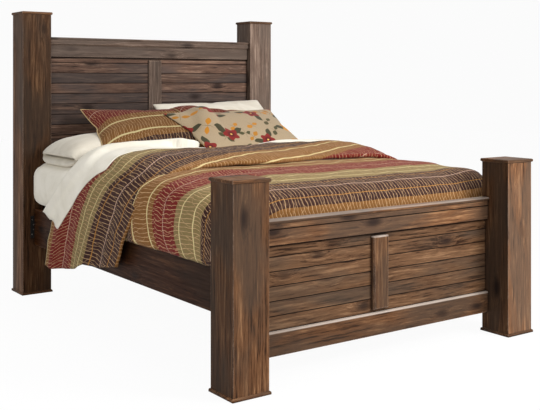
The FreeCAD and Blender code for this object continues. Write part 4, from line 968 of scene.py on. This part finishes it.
head_points, head_flats = head_part()
roll_points, roll_flats = roll_part(head_points, head_flats)
foot_points, foot_flats = foot_part()
QUILT_THICK = 0.007
quilt_points = np.concatenate((head_points, roll_points, foot_points))
quilt_flats = np.concatenate((head_flats, roll_flats, foot_flats))
quilt_points[:, :, 1] += FOOT_FACE
quilt = cloth("quilt_cover", quilt_points, quilt_flats, QUILTING, COVERS, QUILT_THICK)
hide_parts("quilt")

# Top sheet, turned down over the quilt, with a flap hanging on the left

SHEET_ROWS = 34
# the sheet's turned-down edge and its edge at the head: across the bed, and along it
BORDER_X = (-0.90, -0.65, -0.45, -0.32, -0.15, 0.15, 0.28, 0.45, 0.66, 0.90)
BORDER_Y = (1.290, 1.285, 1.270, 1.280, 1.390, 1.400, 1.330, 1.290, 1.285, 1.290)
SHEET_HEAD_X = (-0.90, -0.70, -0.50, 0.90)
SHEET_HEAD_Y = (1.585, 1.700, 1.740, 1.740)
# the height of the sheet, along the bed
SHEET_CREST_Y = (1.20, 1.30, 1.45, 1.55, 1.62, 1.68, 1.75)
SHEET_CREST = (0.920, 0.924, 0.932, 0.934, 0.926, 0.902, 0.866)
SHEET_LEVEL = 0.925
UNDER_SHEET = 0.068
# at the turned-down edge and at the edge at the head: the flap's fall, and how the fall pulls it headward
FLAP_FALL = (0.367, 0.302)
FLAP_PULL = (1.62, 1.18)
FLAP_CURVE = (-0.9, 0.42)
SHEET_RIGHT_HEM = 0.52
SHEET_RIGHT_PULL = 0.5
SHEET_THICK = 0.003
SHEET_GAP = 0.0045


def sheet_crest(y, x):
    return np.interp(y, SHEET_CREST_Y, SHEET_CREST) - UNDER_SHEET * pressed(x, y, -0.235)


def top_sheet_part():
    share = np.linspace(0.0, 1.0, SHEET_ROWS)[::-1][:, None]
    flap_fall, flap_pull, flap_curve = [
        border * (1 - share) + head * share for border, head in (FLAP_FALL, FLAP_PULL, FLAP_CURVE)]
    lowest = np.where(across < 0, HANG_FROM - flap_fall, SHEET_RIGHT_HEM)
    reach = np.interp(SHEET_LEVEL - lowest, SHEET_FORM[2], SHEET_FORM[0])
    u = across * reach
    x, fall = round_section(SHEET_FORM, np.abs(u))
    x = x * side
    y = np.interp(x, BORDER_X, BORDER_Y) * (1 - share) + np.interp(x, SHEET_HEAD_X, SHEET_HEAD_Y) * share
    z = sheet_crest(y, x) - fall
    fallen = np.maximum(0.0, HANG_FROM - z)
    flap = flap_pull * fallen + flap_curve * fallen ** 2
    y = y + np.where(x < 0, flap, SHEET_RIGHT_PULL * fallen)
    points = np.stack((x, y, z), axis=2)
    lumps = 0.005 * hills(points, 0.17, 1) + 0.003 * hills(points, 0.07, 12)
    return raised(points, lumps), np.stack((u, y), axis=2)


SEARCH_ABOVE = 0.12
SEARCH_REACH = 0.2


def lie_on(points, below, gap, firmly):
    """Bring a grid of points to a gap above the cloth below, as far as firmly says row by row."""
    normal = grid_normals(points)
    tree = tree_of(below)
    for row, share in enumerate(firmly):
        for column in range(points.shape[1]):
            place = Vector(points[row, column])
            way = Vector(normal[row, column])
            way = way if way.z > -0.2 else -way
            hit = tree.ray_cast(place + way * SEARCH_ABOVE, -way, SEARCH_REACH)[0]
            if hit is not None:
                points[row, column] += share * np.array(hit + way * gap - place)
    return points


sheet_points, sheet_flats = top_sheet_part()
sheet_points[:, :, 1] += FOOT_FACE
bpy.context.view_layer.update()
sheet_points = lie_on(sheet_points, quilt, SHEET_GAP, ease(np.linspace(0.0, 1.0, SHEET_ROWS), 0.35, 0.6))
turned_sheet = cloth("turned_down_sheet", sheet_points, sheet_flats, SHEETING, COVERS,
                     SHEET_THICK)
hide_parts("top_sheet")


# Box spring, mattress and fitted sheet

def sink(points, low, high, depth):
    """Let the foot end of a block sink, most at its upper edge, and draw its end and corners in."""
    share = (points[:, 2] - low[2]) / (high[2] - low[2])
    behind = points[:, 1] - low[1]
    points[:, 2] -= depth * np.exp(-behind / FOOT_SINK_REACH) * np.clip(share, 0.0, 1.0)
    drawn = FOOT_DRAW * depth * np.exp(-np.maximum(behind, 0.0) / FOOT_DRAW_REACH)
    points[:, 0] *= 1.0 - drawn
    points[:, 1] += drawn
    return points


BLOCK_STEP = 0.03
EDGE_STEPS = 6
WELD_REACH = 0.0004


def block(name, low, high, radius, bulge, material, body, open_below=False, sunk=0.0, head_bulge=0.0):
    """A soft-edged block whose sides swell a little; left open below, it is a fitted cover."""
    low = np.array(low)
    high = np.array(high)
    centre = (low + high) / 2
    reach = (high - low) / 2
    places = []
    for axis in range(3):
        inner = reach[axis] - radius
        rounded = inner + radius * np.sin(np.linspace(0.0, math.pi / 2, EDGE_STEPS))
        count = max(2, int(2 * inner / BLOCK_STEP))
        places.append(np.concatenate((-rounded[::-1], np.linspace(-inner, inner, count)[1:-1], rounded)))
    points = []
    faces = []
    flats = []
    for axis in range(3):
        first, second = [other for other in range(3) if other != axis]
        for sign in (-1.0, 1.0):
            if open_below and axis == 2 and sign < 0:
                continue
            start = len(points)
            for a in places[first]:
                for b in places[second]:
                    point = np.zeros(3)
                    point[axis] = sign * reach[axis]
                    point[first] = a
                    point[second] = b
                    core = np.clip(point, radius - reach, reach - radius)
                    way = point - core
                    swell = 0.0
                    if axis != 2:
                        swell = bulge * np.prod([1 - (point[k] / reach[k]) ** 4 for k in (first, second)])
                    way = way / max(np.linalg.norm(way), 1e-9)
                    plan = math.hypot(way[0], way[1])
                    if plan > 0:
                        way[:2] *= plan / (way[0] ** 8 + way[1] ** 8) ** 0.125
                    place = core + way * radius
                    place[axis] += sign * swell
                    if axis == 0:
                        along, up = point[1:] / reach[1:]
                        swollen = head_bulge * ease(along, 0.0, 0.5)
                        place[0] += sign * swollen * (1 - up ** 10) * (1 - along ** 40)
                    points.append(place + centre)
                    flats.append((a, b))
            for face in grid_faces(len(places[first]), len(places[second])):
                turned = face if (sign < 0) == (axis == 1) else face[::-1]
                faces.append(tuple(corner + start for corner in turned))
    piece = add_mesh(name, sink(np.array(points), low, high, sunk), faces, flats, material, body)
    weld = piece.modifiers.new("weld", "WELD")
    weld.merge_threshold = WELD_REACH
    apply_modifiers(piece)
    return piece


BOX_ROUNDING = 0.018
MATTRESS_ROUNDING = 0.098
FITTED_ROUNDING = 0.096
FITTED_SWELL = 0.012
FITTED_HEAD_SWELL = 0.022
# how far the fitted sheet stands off the lowest and the highest corner of the mattress
FITTED_LOW_EASE = Vector((0.003, 0.002, -0.001))
FITTED_HIGH_EASE = Vector((0.003, 0.002, 0.0005))
box_low, box_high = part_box("box_spring")
foundation = block("box_spring_cover", box_low, box_high, BOX_ROUNDING, 0.0, TICKING, "foundation")
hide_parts("box_spring")
padded_mattress = block("mattress_cover", MATTRESS_LOW, MATTRESS_HIGH, MATTRESS_ROUNDING, 0.0, TICKING,
                        COVERS, sunk=FOOT_SINK)
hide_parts("mattress")
fitted = block("fitted_sheet_cover", MATTRESS_LOW - FITTED_LOW_EASE, MATTRESS_HIGH + FITTED_HIGH_EASE,
               FITTED_ROUNDING, FITTED_SWELL, SHEETING, COVERS, open_below=True,
               sunk=FOOT_SINK, head_bulge=FITTED_HEAD_SWELL)
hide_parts("fitted_sheet")


# Cushions: two panels sewn round the edge and blown up as cloth

SEAM_PULL = 0.4
# points across a case and along it, and how much larger it is cut than it ends up
CASE_GRID = (41, 31)
CASE_SPARE = (1.05, 1.06)
CASE_RISE = 0.42
SHAM_TOP_V = 1.290
SHAM_STRIPE_SHARE = 0.72
SHAM_SKEW = 0.13
SHAM_SKEW_REACH = 0.22


def sham_flat(x, y, width, depth):
    """Place on the striped cloth of a sham, whose stripes lie a little askew."""
    skew = SHAM_SKEW * (1.0 - math.exp(-(x + width / 2) / SHAM_SKEW_REACH))
    return x, SHAM_TOP_V + SHAM_STRIPE_SHARE * (y - depth / 2) - skew


def stuffed(name, width, depth, thick, material, body, slot, taper=0.0):
    """A stuffed case round the origin, with its seam in the plane z = 0, wider at the top by the taper.

    Returns the piece, its seam and the grids of its upper and lower points.
    """
    wide, deep = CASE_GRID
    xs = np.linspace(-0.5, 0.5, wide) * width * CASE_SPARE[0]
    ys = np.linspace(-0.5, 0.5, deep) * depth * CASE_SPARE[1]
    points = []
    flats = []
    top = np.empty((wide, deep), dtype=int)
    bottom = np.empty((wide, deep), dtype=int)
    for i, x in enumerate(xs):
        for j, y in enumerate(ys):
            edge = i in (0, wide - 1) or j in (0, deep - 1)
            puff = (1 - (2 * i / (wide - 1) - 1) ** 2) * (1 - (2 * j / (deep - 1) - 1) ** 2)
            rise = 0.0 if edge else thick * CASE_RISE * puff ** 0.5
            flat = sham_flat(x, y, width, depth) if material == SHADED_SHAM_QUILTING else (x, y)
            top[i, j] = len(points)
            points.append((x, y, rise))
            flats.append(flat)
            bottom[i, j] = top[i, j]
            if not edge:
                bottom[i, j] = len(points)
                points.append((x, y, -rise))
                flats.append(flat)
    faces = []
    for i in range(wide - 1):
        for j in range(deep - 1):
            faces.append((top[i, j], top[i + 1, j], top[i + 1, j + 1], top[i, j + 1]))
            faces.append((bottom[i, j], bottom[i, j + 1], bottom[i + 1, j + 1], bottom[i + 1, j]))
    piece = add_mesh(name, points, faces, flats, material, body)
    blow_up(piece)
    place = np.array([vertex.co for vertex in piece.data.vertices])
    extent = place.max(axis=0) - place.min(axis=0)
    middle = (place.max(axis=0) + place.min(axis=0)) / 2
    place = (place - middle) * np.array((width, depth, thick)) / extent
    straight = np.array(points)[:, :2] / np.array(CASE_SPARE)
    place[:, :2] = straight + SEAM_PULL * (place[:, :2] - straight)
    place[:, 0] *= 1.0 + taper * place[:, 1] / depth
    piece.data.vertices.foreach_set("co", place.ravel())
    seam = list(top[:, 0]) + list(top[-1, 1:]) + list(top[-2::-1, -1]) + list(top[0, -2:0:-1])
    return piece, [int(number) for number in seam], top, bottom


CLOTH_SETTINGS = {"quality": 6, "mass": 0.15, "tension_stiffness": 18, "compression_stiffness": 18,
                  "shear_stiffness": 6, "bending_stiffness": 0.4, "air_damping": 6, "use_pressure": True,
                  "uniform_pressure_force": 4.0}
CLOTH_FRAMES = 20


def blow_up(piece):
    """Let a case swell as cloth under pressure, without weight."""
    settings = piece.modifiers.new("cloth", "CLOTH").settings
    for name, value in CLOTH_SETTINGS.items():
        setattr(settings, name, value)
    settings.effector_weights.gravity = 0
    for frame_number in range(1, CLOTH_FRAMES + 1):
        scene.frame_set(frame_number)
    apply_modifiers(piece)
    scene.frame_set(1)


def place_cushion(piece, centre, tilt, turn, spin):
    """Spin a cushion in its own plane, tilt it up, turn it and put it in its place. Returns its normal."""
    turning = Matrix.Rotation(math.radians(turn), 4, "Z") @ Matrix.Rotation(math.radians(tilt), 4, "X")
    turning = turning @ Matrix.Rotation(math.radians(spin), 4, "Z")
    piece.data.transform(Matrix.Translation(Vector(centre)) @ turning)
    return (turning @ Vector((0, 0, 1))).normalized()


KEPT_THICKNESS = 0.6
SETTLE_ABOVE = 0.6
SETTLE_REACH = 1.0
SMOOTH_ROUNDS = 3


def settle(piece, normal, top, bottom, supports, gap=0.003):
    """Push a cushion out of what it rests on, along its own normal, keeping most of its thickness."""
    vertices = piece.data.vertices
    place = np.array([vertex.co for vertex in vertices])
    room = np.full(len(vertices), gap)
    for high, low in zip(top.ravel(), bottom.ravel()):
        if high != low:
            room[high] = gap + KEPT_THICKNESS * np.linalg.norm(place[high] - place[low])
    bpy.context.view_layer.update()
    for support in supports:
        tree = tree_of(support)
        for number, vertex in enumerate(vertices):
            start = vertex.co + normal * SETTLE_ABOVE
            hit = tree.ray_cast(start, -normal, SETTLE_REACH)[0]
            if hit is None:
                continue
            lift = (hit - vertex.co).dot(normal) + room[number]
            if lift > 0:
                vertex.co += normal * lift
    modifier = piece.modifiers.new("smooth", "SMOOTH")
    modifier.factor = 0.5
    modifier.iterations = SMOOTH_ROUNDS
    apply_modifiers(piece)


def finish_cushion(piece, node):
    fine = piece.modifiers.new("fine", "SUBSURF")
    fine.levels = 1
    apply_modifiers(piece)
    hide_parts(node)


PIPING_RADIUS = 0.0028


def piping(name, cushion, seam, body):
    """A corded edge along a cushion's seam."""
    curve = bpy.data.curves.new(name, "CURVE")
    curve.dimensions = "3D"
    curve.bevel_depth = PIPING_RADIUS
    curve.bevel_resolution = 2
    line = curve.splines.new("POLY")
    line.points.add(len(seam) - 1)
    for point, number in zip(line.points, seam):
        point.co = (*cushion.data.vertices[number].co, 1.0)
    line.use_cyclic_u = True
    holder = bpy.data.objects.new(name + "_line", curve)
    scene.collection.objects.link(holder)
    mesh = finished_mesh(holder)
    bpy.data.objects.remove(holder)
    if not mesh.uv_layers:
        mesh.uv_layers.new(name="flat")
    mesh.uv_layers[0].name = "flat"
    return add_piece(name, mesh, PIPING, body)


HEAD_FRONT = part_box("head_post_left")[0][1]
SHEET_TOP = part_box("fitted_sheet")[1][2]
PILLOW_SIZE = (0.770, 0.480, 0.172)
SHAM_SIZE = (0.780, 0.510, 0.100)
THROW_SIZE = (0.788, 0.487, 0.115)
THROW_TAPER = 0.16
WIDE_PILLOW_SIZE = (0.845, 0.480, 0.172)
# each cushion: its centre across the bed, in from the head posts and up from the sheet; its tilt, turn and
# spin in degrees; its size, cloth, body and slot
CUSHIONS = {
    "pillow_left": ((-0.395, 0.281, 0.080), (0, 0, 0), PILLOW_SIZE, CASING, "sleeping_pillows",
                    "white_linen"),
    "pillow_right": ((0.365, 0.201, 0.178), (39, 0, 2), WIDE_PILLOW_SIZE, CASING, "sleeping_pillows",
                     "white_linen"),
    "sham_left": ((-0.216, 0.347, 0.190), (24, -8, 0), SHAM_SIZE, SHADED_SHAM_QUILTING, "shams", "striped_quilt"),
    "sham_right": ((0.345, 0.391, 0.132), (27, 5, -11), SHAM_SIZE, SHADED_SHAM_QUILTING, "shams", "striped_quilt"),
    "throw_cushion": ((0.286, 0.504, 0.165), (27, 2, 1.8), THROW_SIZE, PRINT, "throw_cushion",
                      "printed_cotton"),
}

# The open end of the left pillow's case: along the bed's width, upper lip, lower lip, from the mouth inward
MOUTH_LEVEL = 0.826
MOUTH_CURVE = 0.02
MOUTH = ((-0.707, 0.8262, 0.8258), (-0.801, 0.830, 0.820), (-0.811, 0.843, 0.793), (-0.808, 0.860, 0.777),
         (-0.791, 0.882, 0.778), (-0.765, 0.903, 0.790), (-0.733, 0.920, 0.797), (-0.690, 0.934, 0.800))


def open_end(piece, top, bottom):
    """Shape the left end of a pillow as the mouth of its case, with a slit between two lips."""
    vertices = piece.data.vertices
    deep = top.shape[1]
    for column, (x, upper, lower) in enumerate(MOUTH):
        for row in range(deep):
            full = math.sqrt(max(0.0, 1 - (2 * row / (deep - 1) - 1) ** 4))
            for number, lip in ((top[column, row], upper), (bottom[column, row], lower)):
                vertex = vertices[int(number)]
                vertex.co.x = x + MOUTH_CURVE * (1 - full)
                vertex.co.z = MOUTH_LEVEL + (lip - MOUTH_LEVEL) * full


under = [fitted, quilt, turned_sheet]
for node, ((aside, inward, up), angles, size, material, body, slot) in CUSHIONS.items():
    taper = THROW_TAPER if node == "throw_cushion" else 0.0
    piece, seam, top, bottom = stuffed(node + "_case", *size, material, body, slot, taper)
    normal = place_cushion(piece, (aside, HEAD_FRONT - inward, SHEET_TOP + up), *angles)
    settle(piece, normal, top, bottom, under)
    if node == "pillow_left":
        open_end(piece, top, bottom)
    if node.startswith("sham"):
        piping(node + "_piping", piece, seam, body)
    finish_cushion(piece, node)
    under.append(piece)
